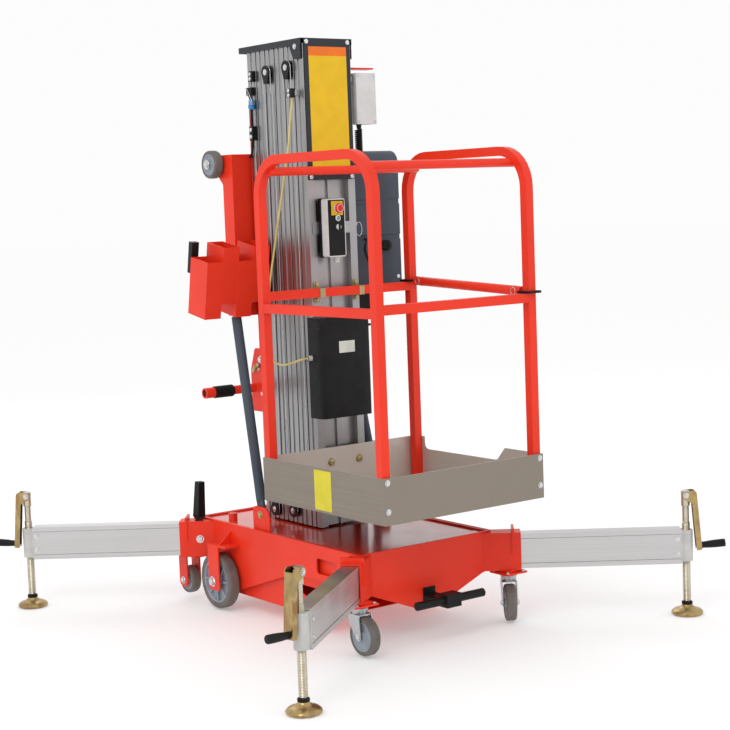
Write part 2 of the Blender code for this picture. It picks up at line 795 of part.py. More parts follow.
def build_caster(chassis, side, left, heading):
    place = Matrix.Translation((CASTER_X, left * CASTER_Y, 0.0)) @ Matrix.Rotation(heading, 4, "Z")
    height = CASTER_RADIUS + WHEEL_CLEARANCE
    gap = CASTER_WIDTH / 2 + WHEEL_CLEARANCE
    crown = height + CASTER_RADIUS + WHEEL_CLEARANCE
    sheet = 0.003
    outline = rounded([
        (CASTER_TRAIL - 0.012, height - 0.012, 0.010),
        (CASTER_TRAIL + 0.012, height - 0.012, 0.010),
        (0.030, crown + sheet, 0.0),
        (-0.030, crown + sheet, 0.0),
        (-0.024, crown - 0.024, 0.010),
    ])
    pieces = [
        block((-0.029, -gap - sheet + 0.0005, crown), (0.029, gap + sheet - 0.0005, crown + sheet - 0.0005)),
        rod((0, 0, crown + 0.001), (0, 0, CASTER_TOP_Z), 0.024, 18, 0.030),
    ]
    for aside in (-1, 1):
        pieces.append(plate(outline, sheet, "XZ", aside * (gap + sheet / 2)))
        face = (CASTER_TRAIL, aside * (gap + sheet), height)
        pieces.append(bolt(face, (0, aside, 0), 0.007, 0.005))
    ends = (CASTER_TRAIL, -gap - 0.001, height), (CASTER_TRAIL, gap + 0.001, height)
    pieces.append(rod(*ends, CASTER_AXLE))
    fork = moved(fuse(*pieces), place)
    fork = name_piece(fork, "caster_fork_" + side, "zinc", (CASTER_X, left * CASTER_Y, CASTER_TOP_Z), chassis)
    profile = wheel_profile(CASTER_RADIUS, CASTER_WIDTH, CASTER_AXLE + RUNNING, 0.014, 0.014, 0.010)
    centre = place @ Vector((CASTER_TRAIL, 0.0, height))
    wheel = upright_wheel(profile, 16, (), centre, heading)
    name_piece(wheel, "caster_wheel_" + side, "grey rubber", centre, fork)


# Outriggers
def beam_solid():
    half = BEAM_WIDTH / 2
    inset = half - BEAM_RECESS
    outline = [
        (-half, BEAM_BOTTOM_Z),
        (half, BEAM_BOTTOM_Z),
        (half, BEAM_BOTTOM_Z + BEAM_BAND),
        (inset, BEAM_BOTTOM_Z + BEAM_BAND + BEAM_RECESS),
        (inset, BEAM_TOP_Z - BEAM_BAND - BEAM_RECESS),
        (half, BEAM_TOP_Z - BEAM_BAND),
        (half, BEAM_TOP_Z),
        (-half, BEAM_TOP_Z),
        (-half, BEAM_TOP_Z - BEAM_BAND),
        (-inset, BEAM_TOP_Z - BEAM_BAND - BEAM_RECESS),
        (-inset, BEAM_BOTTOM_Z + BEAM_BAND + BEAM_RECESS),
        (-half, BEAM_BOTTOM_Z + BEAM_BAND),
    ]
    hollow = half - BEAM_RECESS - BEAM_WALL + 0.001
    low = BEAM_BOTTOM_Z + BEAM_WALL
    high = BEAM_TOP_Z - BEAM_WALL
    tube = rectangle((-hollow, low), (hollow, high))
    inner = -MOUTH_REACH - SOCKET_LENGTH
    beam = plate(outline, -BEAM_END - inner, "YZ", (inner - BEAM_END) / 2, [tube])
    middle = (BEAM_BOTTOM_Z + BEAM_TOP_Z) / 2
    foot = middle - BLOCK_HEIGHT / 2
    head = middle + BLOCK_HEIGHT / 2
    flange_front = -BEAM_END + FLANGE_PLATE - TONGUE_BITE
    nose_outline = [(flange_front - TONGUE_BITE, -NOSE_RADIUS)]
    for step in range(9):
        turn = math.pi * (step / 8 - 0.5)
        nose_outline.append((NOSE_RADIUS * math.cos(turn), NOSE_RADIUS * math.sin(turn)))
    nose_outline.append((flange_front - TONGUE_BITE, NOSE_RADIUS))
    tongue = hollow + TONGUE_BITE
    pieces = [
        beam,
        plate(nose_outline, BLOCK_HEIGHT - 0.001, "XY", middle),
        block((-BEAM_END - TONGUE_BITE, -half + 0.0005, foot), (flange_front, half - 0.0005, head)),
        block((-BEAM_END - TONGUE_LENGTH, -tongue, foot + 0.001), (-BEAM_END, tongue, head - 0.001)),
    ]
    for rise in (-BLOCK_BOLT_RISE, BLOCK_BOLT_RISE):
        for aside in (-1, 1):
            centre = (BLOCK_BOLT_X, aside * inset, middle + rise)
            pieces.append(bolt(centre, (0, aside, 0), BLOCK_BOLT_RADIUS, 0.005))
    solid = fuse(*pieces)
    bore = rod((0, 0, BEAM_BOTTOM_Z - 0.05), (0, 0, BEAM_TOP_Z + 0.05), SCREW_RADIUS + RUNNING, 20)
    return cut(solid, bore)


def jack_solid():
    profile = [
        (0.0, SCREW_TOP_Z),
        (HEAD_RADIUS, SCREW_TOP_Z),
        (HEAD_RADIUS, HEAD_LOW_Z),
        (STEM_RADIUS, HEAD_LOW_Z - 0.002),
        (STEM_RADIUS, STEM_LOW_Z + 0.002),
        (SCREW_RADIUS, STEM_LOW_Z),
        (SCREW_RADIUS, NECK_RING_Z[1]),
        (NECK_RING_RADIUS, NECK_RING_Z[1] - 0.0005),
        (NECK_RING_RADIUS, NECK_RING_Z[0]),
        *PAD_PROFILE,
        (0.0, 0.0),
    ]
    return turned(profile, 14, False)


def crank_solid():
    """The folding crank in a frame at its pivot, its channel hanging along minus Z."""
    half = CRANK_WIDTH / 2
    inner = CRANK_STAND_OFF
    outer = inner + CRANK_DEPTH
    cheek_outline = rounded([
        (-0.011, -0.011, 0.010),
        (inner, -0.030, 0.0),
        (inner, -CRANK_LENGTH, 0.0),
        (outer, -CRANK_LENGTH, 0.004),
        (outer, 0.014, 0.012),
        (-0.011, 0.014, 0.010),
    ])
    pieces = []
    for aside in (-1, 1):
        pieces.append(plate(cheek_outline, CRANK_PLATE, "XZ", aside * (half - CRANK_PLATE / 2)))
    pieces.append(block((outer - CRANK_PLATE, -half + 0.001, -CRANK_LENGTH + 0.001), (outer - 0.0002, half - 0.001, 0.0)))
    pieces.append(block((inner, -half + 0.001, -CRANK_LENGTH + 0.004), (outer - 0.001, half - 0.001, -CRANK_LENGTH + 0.010)))
    pieces.append(rod((0, -half - 0.005, 0), (0, -half + 0.001, 0), 0.007, 10))
    pieces.append(rod((0, half - 0.001, 0), (0, half + 0.005, 0), 0.007, 10))
    grip_z = -CRANK_LENGTH + CRANK_GRIP_RADIUS
    start = (outer - 0.001, 0, grip_z)
    end = (outer + CRANK_GRIP_LENGTH, 0, grip_z)
    pieces.append(rod(start, end, CRANK_GRIP_NECK, 12, CRANK_GRIP_RADIUS))
    return moved(fuse(*pieces), Matrix.Rotation(-CRANK_LEAN, 4, "Y"))


def build_outriggers(chassis):
    beam_mesh = beam_solid()
    jack_mesh = jack_solid()
    crank_mesh = crank_solid()
    for name, forward, left in CORNERS:
        frame = corner_frame(forward, left)
        foot = frame @ Vector((0.0, 0.0, 0.0))
        pivot = frame @ Vector((0.0, 0.0, CRANK_PIVOT_Z))
        beam = moved(solid_from(beam_mesh.data.copy()), frame)
        beam = name_piece(beam, "outrigger_" + name, "aluminium", foot, chassis)
        jack = moved(solid_from(jack_mesh.data.copy()), frame)
        jack = name_piece(jack, "jack_screw_" + name, "zinc", foot, beam)
        turn = Matrix.Rotation(math.radians(CRANK_TURNS[name]), 4, "Z")
        raised = frame @ Matrix.Translation((0.0, 0.0, CRANK_PIVOT_Z)) @ turn
        crank = moved(solid_from(crank_mesh.data.copy()), raised)
        name_piece(crank, "crank_" + name, "zinc", pivot, jack)
    for template in (beam_mesh, jack_mesh, crank_mesh):
        bpy.data.objects.remove(template)


# Mast
def section_outline(tongue):
    slot_end = SECTION_DEPTH - LIP
    front_web = WEB_X + WEB
    inner = MAST_HALF - SIDE_WALL
    half = [
        (front_web + RIB, RIB_HALF),
        (front_web, RIB_HALF),
        (front_web, inner),
        (slot_end, inner),
        (slot_end, LIP_Y),
        (SECTION_DEPTH, LIP_Y),
        (SECTION_DEPTH, MAST_HALF),
        (GROOVE_X + GROOVE_WIDTH, MAST_HALF),
        (GROOVE_X + GROOVE_WIDTH, MAST_HALF - GROOVE_DEPTH),
        (GROOVE_X, MAST_HALF - GROOVE_DEPTH),
        (GROOVE_X, MAST_HALF),
        (0.0, MAST_HALF),
    ]
    if tongue:
        stem_end = -SECTION_SPACING - LIP - HEAD_GAP
        half += [
            (0.0, STEM_Y),
            (stem_end, STEM_Y),
            (stem_end, HEAD_Y),
            (stem_end - HEAD_DEPTH, HEAD_Y),
        ]
    return half + [(along, -across) for along, across in reversed(half)]


def build_mast(chassis):
    inner = MAST_HALF - SIDE_WALL
    hollow = rectangle((REAR_SKIN, -inner), (WEB_X, inner))
    sections = [chassis]
    for index in range(1, SECTION_COUNT + 1):
        foot = DECK_Z + (SEAT if index == 1 else SECTION_LIFT)
        outline = section_outline(index > 1)
        section = plate(outline, SECTION_TOP_Z - foot, "XY", (SECTION_TOP_Z + foot) / 2, [hollow])
        moved(section, Matrix.Translation((section_x(index), 0.0, 0.0)))
        pivot = (section_x(index), 0.0, foot)
        name = "mast_section_" + str(index)
        sections.append(name_piece(section, name, "aluminium", pivot, sections[-1]))
    for index, behind, height in SHEAVES:
        build_sheave(sections[index], index, behind, height)
    return sections


def build_sheave(section, index, behind, height):
    along = section_x(index) + SECTION_DEPTH / 2 - behind
    near = -MAST_HALF - SEAT
    inner = -MAST_HALF - SHEAVE_STAND_OFF
    outer = inner - SHEAVE_THICKNESS
    tail = SHEAVE_TAIL if height > 1.0 else -SHEAVE_TAIL
    sheet = SHEAVE_SHEET
    cheek = []
    for step in range(9):
        turn = math.pi * step / 8
        rise = math.copysign(SHEAVE_RADIUS, tail) * math.sin(turn)
        cheek.append((along + SHEAVE_RADIUS * math.cos(turn), height + rise))
    cheek += [(along - 0.010, height - tail), (along + 0.010, height - tail)]
    bridge = height - tail * 0.95
    pieces = [
        plate(cheek, sheet, "XZ", outer + sheet / 2),
        plate(cheek, sheet, "XZ", inner - sheet / 2),
        rod((along, inner - sheet + 0.001, height), (along, outer + sheet - 0.001, height), SHEAVE_RADIUS - 0.003, 14),
        rod((along, near, height), (along, inner - 0.001, height), SHEAVE_BOSS, 10),
        block((along - 0.008, outer + sheet - 0.001, bridge - 0.002), (along + 0.008, inner - sheet + 0.001, bridge + 0.002)),
        bolt((along, outer, height), (0, -1, 0), 0.007, 0.003),
    ]
    name_piece(fuse(*pieces), "sheave_" + str(index), "black plastic", (along, inner, height), section)


def build_anchors(sections):
    for index, rear, front, low, high, stand_off, bolt_x in ANCHORS:
        near = -MAST_HALF - stand_off
        outer = near - ANCHOR_THICKNESS
        outline = rectangle((rear, low), (front, high), 0.004)
        pieces = [plate(outline, ANCHOR_THICKNESS, "XZ", (near + outer) / 2)]
        if stand_off > SEAT:
            pieces.append(block((rear + 0.004, near - 0.001, low + 0.006), (front - 0.004, -MAST_HALF - SEAT, high - 0.006)))
        for spread in (-ANCHOR_BOLT_SPREAD, ANCHOR_BOLT_SPREAD):
            pieces.append(bolt((bolt_x, outer, (low + high) / 2 + spread), (0, -1, 0), 0.0045, 0.003))
        name = "cable_anchor_" + str(index)
        name_piece(fuse(*pieces), name, "black plastic", (rear, near, low), sections[index])


# Cap and sign plate
def build_cap(top_section):
    front = MAST_FRONT_X
    low = CAP_TOP_Z - CAP_FOLD
    outer = block((CAP_REAR_X, -CAP_Y, low), (front, CAP_Y, CAP_TOP_Z))
    inner_y = CAP_Y - CAP_SHEET
    hollow = block(
        (CAP_REAR_X + CAP_SHEET, -inner_y, low - 0.010),
        (front + 0.010, inner_y, CAP_TOP_Z - CAP_SHEET),
    )
    cap = cut(outer, hollow)
    pieces = [cap]
    for _, left in SIDES:
        outline = rounded([
            (front - CHEEK_LENGTH, low - CHEEK_DROP, 0.012),
            (front - 0.002, low - CHEEK_DROP, 0.006),
            (front - 0.002, low + 0.004, 0.0),
            (front - CHEEK_TOP, low + 0.004, 0.0),
        ])
        pieces.append(plate(outline, CAP_SHEET, "XZ", left * (CAP_Y - CAP_SHEET / 2)))
        bolt_x = front - CHEEK_BOLT_X
        bolt_z = low - CHEEK_BOLT_DROP
        near = (bolt_x, left * (MAST_HALF + SEAT), bolt_z)
        far = (bolt_x, left * (CAP_Y - 0.001), bolt_z)
        pieces.append(rod(near, far, 0.007, 10))
        pieces.append(bolt((bolt_x, left * CAP_Y, bolt_z), (0, left, 0), 0.006, 0.004))
    return name_piece(fuse(*pieces), "top_cap", "dark grey paint", (front, 0.0, low), top_section)


def build_sign(top_section):
    rear = MAST_FRONT_X + SEAT
    outline = rectangle((-SIGN_Y, SIGN_BOTTOM_Z), (SIGN_Y, SIGN_TOP_Z), 0.004)
    pieces = [plate(outline, SIGN_PLATE, "YZ", rear + SIGN_PLATE / 2)]
    for left in (-1, 1):
        for height in (SIGN_BOTTOM_Z + SIGN_SCREW_INSET, SIGN_TOP_Z - SIGN_SCREW_INSET):
            place = (rear + SIGN_PLATE, left * (SIGN_Y - SIGN_SCREW_INSET), height)
            pieces.append(bolt(place, (1, 0, 0), 0.005, 0.003))
    name_piece(fuse(*pieces), "sign_plate", "dark grey paint", (rear, 0.0, SIGN_BOTTOM_Z), top_section)


# Boxes on the mast's front
def build_boxes(top_section):
    rear = MAST_FRONT_X + SEAT
    outline = rectangle((CONTROL_Y[0], CONTROL_Z[0]), (CONTROL_Y[1], CONTROL_Z[1]), 0.008)
    strap = 0.003
    lip_y = MAST_HALF - 0.012
    body_rear = rear + strap - 0.001
    face = body_rear + CONTROL_DEPTH
    pieces = [plate(outline, CONTROL_DEPTH, "YZ", body_rear + CONTROL_DEPTH / 2)]
    pieces.append(block((rear, -lip_y, CONTROL_Z[0] + 0.080), (rear + strap, lip_y, CONTROL_Z[0] + 0.120)))
    # Control: across, height, radius, reach
    controls = ((-0.020, 1.413, 0.016, 0.022), (-0.020, 1.379, 0.009, 0.008), (-0.020, 1.349, 0.010, 0.012))
    for across, height, radius, reach in controls:
        pieces.append(rod((face - 0.001, across, height), (face + reach, across, height), radius, 16, radius * 0.85))
    pieces.append(rod((rear + 0.025, -0.010, CONTROL_Z[0] - 0.020), (rear + 0.025, -0.010, CONTROL_Z[0] + 0.001), 0.010))
    name_piece(fuse(*pieces), "control_box", "white plastic", (rear, 0.0, CONTROL_Z[0]), top_section)

    outline = rounded([
        (rear, DOCUMENT_Y[0], 0.0),
        (rear + DOCUMENT_DEPTH, DOCUMENT_Y[0], 0.018),
        (rear + DOCUMENT_DEPTH, DOCUMENT_Y[1], 0.018),
        (rear, DOCUMENT_Y[1], 0.0),
    ])
    height = DOCUMENT_Z[1] - DOCUMENT_Z[0]
    body = plate(outline, height, "XY", (DOCUMENT_Z[0] + DOCUMENT_Z[1]) / 2)
    side = DOCUMENT_Y[0]
    gland_x = rear + GLAND_AHEAD
    gland = rod((gland_x, side + 0.001, GLAND_Z), (gland_x, side - GLAND_REACH, GLAND_Z), GLAND_RADIUS)
    name_piece(fuse(body, gland), "document_box", "black plastic", (rear, 0.0, DOCUMENT_Z[0]), top_section)

    rear = section_x(SECTION_COUNT)
    front = rear + ELECTRIC_DEPTH
    outline = rectangle((ELECTRIC_Y[0], ELECTRIC_Z[0]), (ELECTRIC_Y[1], ELECTRIC_Z[1]), 0.006)
    body = plate(outline, ELECTRIC_DEPTH, "YZ", (rear + front) / 2)
    seat_y = MAST_HALF + SEAT
    bracket = block((rear + 0.006, seat_y, ELECTRIC_Z[0] + 0.020), (rear + 0.044, seat_y + 0.003, ELECTRIC_Z[1] + 0.018))
    shelf = block((rear + 0.006, seat_y, ELECTRIC_Z[1] + 0.014), (rear + 0.044, ELECTRIC_Y[1] - 0.010, ELECTRIC_Z[1] + 0.018))
    tie = block((rear + 0.010, seat_y + 0.001, ELECTRIC_Z[1] - 0.030), (rear + 0.040, ELECTRIC_Y[0] + 0.001, ELECTRIC_Z[1] - 0.010))
    name_piece(fuse(body, bracket, shelf, tie), "electrical_box", "white plastic", (rear, seat_y, ELECTRIC_Z[0]), top_section)


# Pieces on the fixed section
def build_column(chassis):
    web_rear = COLUMN_FRONT_X - COLUMN_PLATE
    web = block((web_rear, -COLUMN_HALF, COLUMN_BOTTOM_Z), (COLUMN_FRONT_X, COLUMN_HALF, COLUMN_TOP_Z))
    pieces = [web]
    back = COLUMN_FRONT_X - COLUMN_FLANGE
    far = back - COLUMN_FLARE
    flange = rounded([
        (COLUMN_FRONT_X - 0.001, COLUMN_BOTTOM_Z, 0.0),
        (COLUMN_FRONT_X - 0.001, COLUMN_TOP_Z, 0.0),
        (far, COLUMN_TOP_Z, 0.020),
        (far, COLUMN_FLARE_Z[1], 0.0),
        (back, COLUMN_FLARE_Z[0], 0.0),
        (back, COLUMN_BOTTOM_Z, 0.0),
    ])
    for _, left in SIDES:
        pieces.append(plate(flange, COLUMN_PLATE, "XZ", left * (COLUMN_HALF - COLUMN_PLATE / 2)))
        wheel_outer = loading_y() + LOADING_WIDTH / 2 + RUNNING
        start = (LOADING_X, left * (COLUMN_HALF - 0.001), LOADING_Z)
        middle = (LOADING_X, left * (wheel_outer + 0.001), LOADING_Z)
        end = (LOADING_X, left * (wheel_outer + 0.011), LOADING_Z)
        pieces.append(rod(start, middle, LOADING_AXLE))
        pieces.append(rod((LOADING_X, left * wheel_outer, LOADING_Z), end, LOADING_AXLE + 0.005, 6))
    for height in (COLUMN_BOTTOM_Z + 0.060, COLUMN_TOP_Z - 0.060):
        gap_end = MAST_REAR_X - SEAT
        pieces.append(block((COLUMN_FRONT_X - 0.001, -0.080, height - 0.025), (gap_end, 0.080, height + 0.025)))
    column = name_piece(fuse(*pieces), "rear_column", "red paint", (COLUMN_FRONT_X, 0.0, COLUMN_BOTTOM_Z), chassis)
    for side, left in SIDES:
        centre = (LOADING_X, left * loading_y(), LOADING_Z)
        profile = wheel_profile(LOADING_RADIUS, LOADING_WIDTH, LOADING_AXLE + RUNNING, 0.012, 0.014, 0.012)
        wheel = upright_wheel(profile, 14, (), centre)
        name_piece(wheel, "loading_wheel_" + side, "grey rubber", centre, column)


def loading_y():
    return COLUMN_HALF + WHEEL_CLEARANCE + LOADING_WIDTH / 2


def bank_pockets():
    """Outer tubes and hollows of the pockets, upright in the bank's own frame."""
    width = POCKET_PITCH + POCKET_WALL
    tubes = []
    hollows = []
    for index in range(POCKET_COUNT):
        low_y = BANK_OUTER_Y + index * POCKET_PITCH
        foot = POCKET_RAISE if index % 2 else 0.0
        head = foot + POCKET_LENGTH
        inset = 0.0005 if index % 2 else 0.0
        tubes.append(block((inset, low_y, foot), (POCKET_DEPTH - inset, low_y + width, head)))
        hollows.append(block(
            (POCKET_WALL, low_y + POCKET_WALL, foot + POCKET_WALL),
            (POCKET_DEPTH - POCKET_WALL, low_y + width - POCKET_WALL, head + 0.010),
        ))
    for item in tubes + hollows:
        moved(item, bank_frame())
    return tubes, hollows


def build_bank(chassis):
    tubes, hollows = bank_pockets()
    ribs = []
    for across in (-0.165, -0.140):
        outline = [
            (COLUMN_FRONT_X + SEAT, 1.130),
            (-0.330, 1.130),
            (-0.322, 1.230),
            (COLUMN_FRONT_X + SEAT, 1.230),
        ]
        ribs.append(plate(outline, 0.006, "XZ", across))
    bank = cut(fuse(*tubes, *ribs), *hollows)
    bank = name_piece(bank, "pocket_bank", "red paint", (BANK_X, BANK_OUTER_Y, BANK_Z), chassis)

    across = BANK_OUTER_Y + 0.018
    stem = block((-0.010, across - 0.008, 0.030), (-SEAT, across + 0.008, 0.150))
    grip = block((-0.026, across - 0.014, 0.140), (-0.002, across + 0.014, 0.250))
    lever = moved(fuse(stem, grip), bank_frame())
    name_piece(lever, "stowage_lever", "black plastic", (BANK_X, across, BANK_Z), chassis)


def build_struts(chassis):
    under_bank = BANK_Z - (STRUT_TOP[0] - BANK_X) * math.tan(BANK_TILT)
    tops = {"right": under_bank - 0.008, "left": COVER_Z[0] - 0.0055}
    for side, left in SIDES:
        foot = Vector((STRUT_FOOT[0], left * STRUT_FOOT[1], STRUT_FOOT[2]))
        top = Vector((STRUT_TOP[0], left * STRUT_TOP[1], tops[side]))
        tube = rod(foot + (top - foot) * 0.07, top, STRUT_RADIUS, 16)
        inner = LUG_Y - LUG_PLATE / 2 - SEAT
        span = sorted((left * inner, left * (inner - 0.010)))
        ear_outline = rounded([
            (foot.x - 0.020, foot.z - 0.020, 0.016),
            (foot.x + 0.020, foot.z - 0.020, 0.016),
            (foot.x + 0.006, foot.z + 0.060, 0.0),
            (foot.x - 0.034, foot.z + 0.060, 0.0),
        ])
        ear = plate(ear_outline, 0.010, "XZ", sum(span) / 2)
        name_piece(fuse(tube, ear), "strut_" + side, "blue grey paint", foot, chassis)


def build_handles(chassis):
    for side, left in SIDES:
        near = left * (MAST_HALF + SEAT)
        far = left * (MAST_HALF + SEAT + HANDLE_PLATE)
        outline = rounded([
            (HANDLE_PLATE_X[0], HANDLE_PLATE_Z[0], 0.012),
            (HANDLE_PLATE_X[1], HANDLE_PLATE_Z[0], 0.012),
            (HANDLE_PLATE_X[1], HANDLE_PLATE_Z[1], 0.012),
            (HANDLE_PLATE_X[0] + 0.030, HANDLE_PLATE_Z[1], 0.012),
            (HANDLE_PLATE_X[0], HANDLE_PLATE_Z[1] - 0.080, 0.0),
        ])
        pieces = [plate(outline, HANDLE_PLATE, "XZ", (near + far) / 2)]
        axis_x = HANDLE_X + 0.010
        start = (axis_x, far - left * 0.001, HANDLE_Z)
        end = (axis_x, left * (HANDLE_GRIP_Y[1] - 0.004), HANDLE_Z)
        pieces.append(rod(start, end, HANDLE_TUBE))
        for along, up in ((-0.325, 0.880), (-0.314, 0.760), (-0.350, 0.850)):
            pieces.append(bolt((along, far, up), (0, left, 0), 0.009, 0.008))
        arm = name_piece(fuse(*pieces), "push_handle_" + side, "red paint", (axis_x, near, HANDLE_Z), chassis)
        profile = [
            (0.0, HANDLE_GRIP_Y[1]),
            (HANDLE_GRIP - 0.003, HANDLE_GRIP_Y[1]),
            (HANDLE_GRIP, HANDLE_GRIP_Y[1] - 0.003),
            (HANDLE_GRIP, HANDLE_GRIP_Y[0]),
            (HANDLE_TUBE + SEAT, HANDLE_GRIP_Y[0]),
            (HANDLE_TUBE + SEAT, HANDLE_GRIP_Y[1] - 0.0035),
            (0.0, HANDLE_GRIP_Y[1] - 0.0035),
        ]
        grip = turned(profile, 16, False)
        moved(grip, Matrix.Translation((axis_x, 0, HANDLE_Z)) @ Matrix.Rotation(-left * math.pi / 2, 4, "X"))
        name_piece(grip, "handle_grip_" + side, "black plastic", (axis_x, left * HANDLE_GRIP_Y[0], HANDLE_Z), arm)


def build_cover(chassis):
    rear = COLUMN_FRONT_X + SEAT
    outline = rounded([
        (rear, COVER_Z[0], 0.006),
        (COVER_FRONT_X, COVER_Z[0], 0.010),
        (COVER_FRONT_X, COVER_Z[1], COVER_ROUND),
        (rear, COVER_Z[1], 0.006),
    ], 5)
    body = plate(outline, COVER_Y[1] - COVER_Y[0], "XZ", sum(COVER_Y) / 2)
    grooves = []
    for height in (1.265, 1.380, 1.490):
        grooves.append(block((COVER_FRONT_X - 0.003, COVER_Y[0] - 0.01, height), (COVER_FRONT_X + 0.01, COVER_Y[1] + 0.01, height + 0.006)))
    body = cut(body, *grooves)
    knob = rod((COVER_FRONT_X - 0.004, 0.280, 1.310), (COVER_FRONT_X + 0.020, 0.280, 1.310), 0.018, 20, 0.015)
    name_piece(fuse(body, knob), "power_cover", "blue grey paint", (rear, COVER_Y[0], COVER_Z[0]), chassis)
    outline = rectangle((0.150, 1.040), (0.250, COVER_Z[0] - SEAT), 0.006)
    pump = plate(outline, 0.100, "YZ", COVER_FRONT_X - 0.060)
    name_piece(pump, "power_block", "black plastic", (COVER_FRONT_X - 0.060, 0.200, COVER_Z[0]), chassis)


def build_lift_handle(chassis):
    bar = rod((BAR_X, -BAR_HALF, BAR_Z), (BAR_X, BAR_HALF, BAR_Z), BAR_RADIUS, 16)
    core = block((BAR_X - 0.022, -0.030, BAR_Z - 0.022), (BAR_X + 0.022, 0.030, BAR_Z + 0.022))
    strap = block((FRONT_X + SEAT, -0.025, BAR_Z - 0.003), (BAR_X - 0.020, 0.025, BAR_Z + 0.003))
    flange = block((FRONT_X + SEAT, -0.025, BAR_Z - 0.020), (FRONT_X + SEAT + 0.004, 0.025, BAR_Z + 0.024))
    name_piece(fuse(bar, core, strap, flange), "lift_handle", "black plastic", (BAR_X, 0.0, BAR_Z), chassis)


def build_socket_lever(chassis):
    frame = corner_frame(-1, -1)
    half = BEAM_WIDTH / 2
    base = BEAM_TOP_Z + SOCKET_GAP + SOCKET_WALL + SEAT
    centre = -MOUTH_REACH - 0.070
    stem = block((centre - 0.012, -half + 0.008, base), (centre + 0.012, half - 0.008, base + 0.012))
    grip = rod((centre, 0, base + 0.011), (centre - 0.008, 0, base + 0.140), 0.023, 4, 0.018)
    lever = moved(fuse(stem, grip), frame)
    place = frame @ Vector((centre, 0.0, base))
    name_piece(lever, "lock_lever", "black plastic", place, chassis)


# Platform
def build_tray(top_section):
    rear = MAST_FRONT_X + TRAY_REAR_GAP
    sheet = TRAY_SHEET
    shell = block((rear, -TRAY_HALF, TRAY_BOTTOM_Z), (TRAY_FRONT_X, TRAY_HALF, TRAY_TOP_Z))
    hollow = block(
        (rear + sheet, -TRAY_HALF + sheet, TRAY_BOTTOM_Z + sheet),
        (TRAY_FRONT_X - sheet, TRAY_HALF - sheet, TRAY_TOP_Z + 0.02),
    )
    step_outline = rounded([
        (ENTRY_X[0], ENTRY_TOP_Z, 0.020),
        (ENTRY_X[1], ENTRY_TOP_Z, 0.020),
        (ENTRY_X[1] + 0.060, TRAY_TOP_Z + 0.02, 0.0),
        (ENTRY_X[0], TRAY_TOP_Z + 0.02, 0.0),
    ])
    step = plate(step_outline, 0.020, "XZ", TRAY_HALF)
    tray = cut(shell, hollow, step)
    pieces = [tray]
    for across in (-0.315, 0.315):
        for height in (0.573, 0.483):
            pieces.append(bolt((TRAY_FRONT_X, across, height), (1, 0, 0), 0.006, 0.004))
    for across in (-0.050, 0.070):
        pieces.append(bolt((rear + sheet, across, 0.535), (1, 0, 0), 0.009, 0.007))
    for across in (-BEARER_Y, BEARER_Y):
        pieces.append(block(
            (rear, across - BEARER_HALF, TRAY_BOTTOM_Z - BEARER_DEPTH),
            (TRAY_FRONT_X - BEARER_SETBACK, across + BEARER_HALF, TRAY_BOTTOM_Z + 0.001),
        ))
    pieces.append(block(
        (rear + sheet + TREAD_INSET, -TREAD_HALF, TRAY_BOTTOM_Z + 0.001),
        (TRAY_FRONT_X - sheet - TREAD_INSET, TREAD_HALF, TRAY_BOTTOM_Z + sheet + TREAD_RISE),
    ))
    name_piece(fuse(*pieces), "platform_tray", "stainless", (rear, 0.0, TRAY_BOTTOM_Z), top_section)


def post_y():
    return TRAY_HALF - TRAY_SHEET - SEAT - RAIL / 2


def hoop_outline():
    half = RAIL / 2
    foot = TRAY_BOTTOM_Z + TRAY_SHEET + SEAT
    outer = rounded([
        (RAIL_REAR_X - half, foot, 0.0),
        (RAIL_REAR_X + half, foot, 0.0),
        (RAIL_REAR_X + half, RAIL_TOP_Z - half, RAIL_BEND - half),
        (RAIL_FRONT_X - half, RAIL_TOP_Z - half, RAIL_BEND - half),
        (RAIL_FRONT_X - half, foot, 0.0),
        (RAIL_FRONT_X + half, foot, 0.0),
        (RAIL_FRONT_X + half, RAIL_TOP_Z + half, RAIL_BEND + half),
        (RAIL_REAR_X - half, RAIL_TOP_Z + half, RAIL_BEND + half),
    ], 8)
    return outer


def build_guard_rail(top_section):
    half = RAIL / 2
    near = post_y() - 0.002
    pieces = []
    for _, left in SIDES:
        pieces.append(plate(hoop_outline(), RAIL, "XZ", left * post_y()))
    for along in (RAIL_REAR_X + CROSS_INSET, RAIL_FRONT_X - CROSS_INSET):
        pieces.append(rod((along, -near, CROSS_Z), (along, near, CROSS_Z), CROSS_RADIUS))
    # Cross rail: along, height
    for along, height in ((RAIL_REAR_X, REAR_RAIL_Z), (RAIL_FRONT_X, FRONT_RAIL_Z)):
        inset = half - 0.0005
        pieces.append(block((along - inset, -near, height - half), (along + inset, near, height + half)))
    side_y = -post_y()
    inset = half - 0.0005
    pieces.append(block(
        (RAIL_REAR_X, side_y - inset, SIDE_RAIL_Z - half),
        (RAIL_FRONT_X, side_y + inset, SIDE_RAIL_Z + half),
    ))
    name_piece(fuse(*pieces), "guard_rail", "red paint", (RAIL_REAR_X, 0.0, TRAY_BOTTOM_Z), top_section)


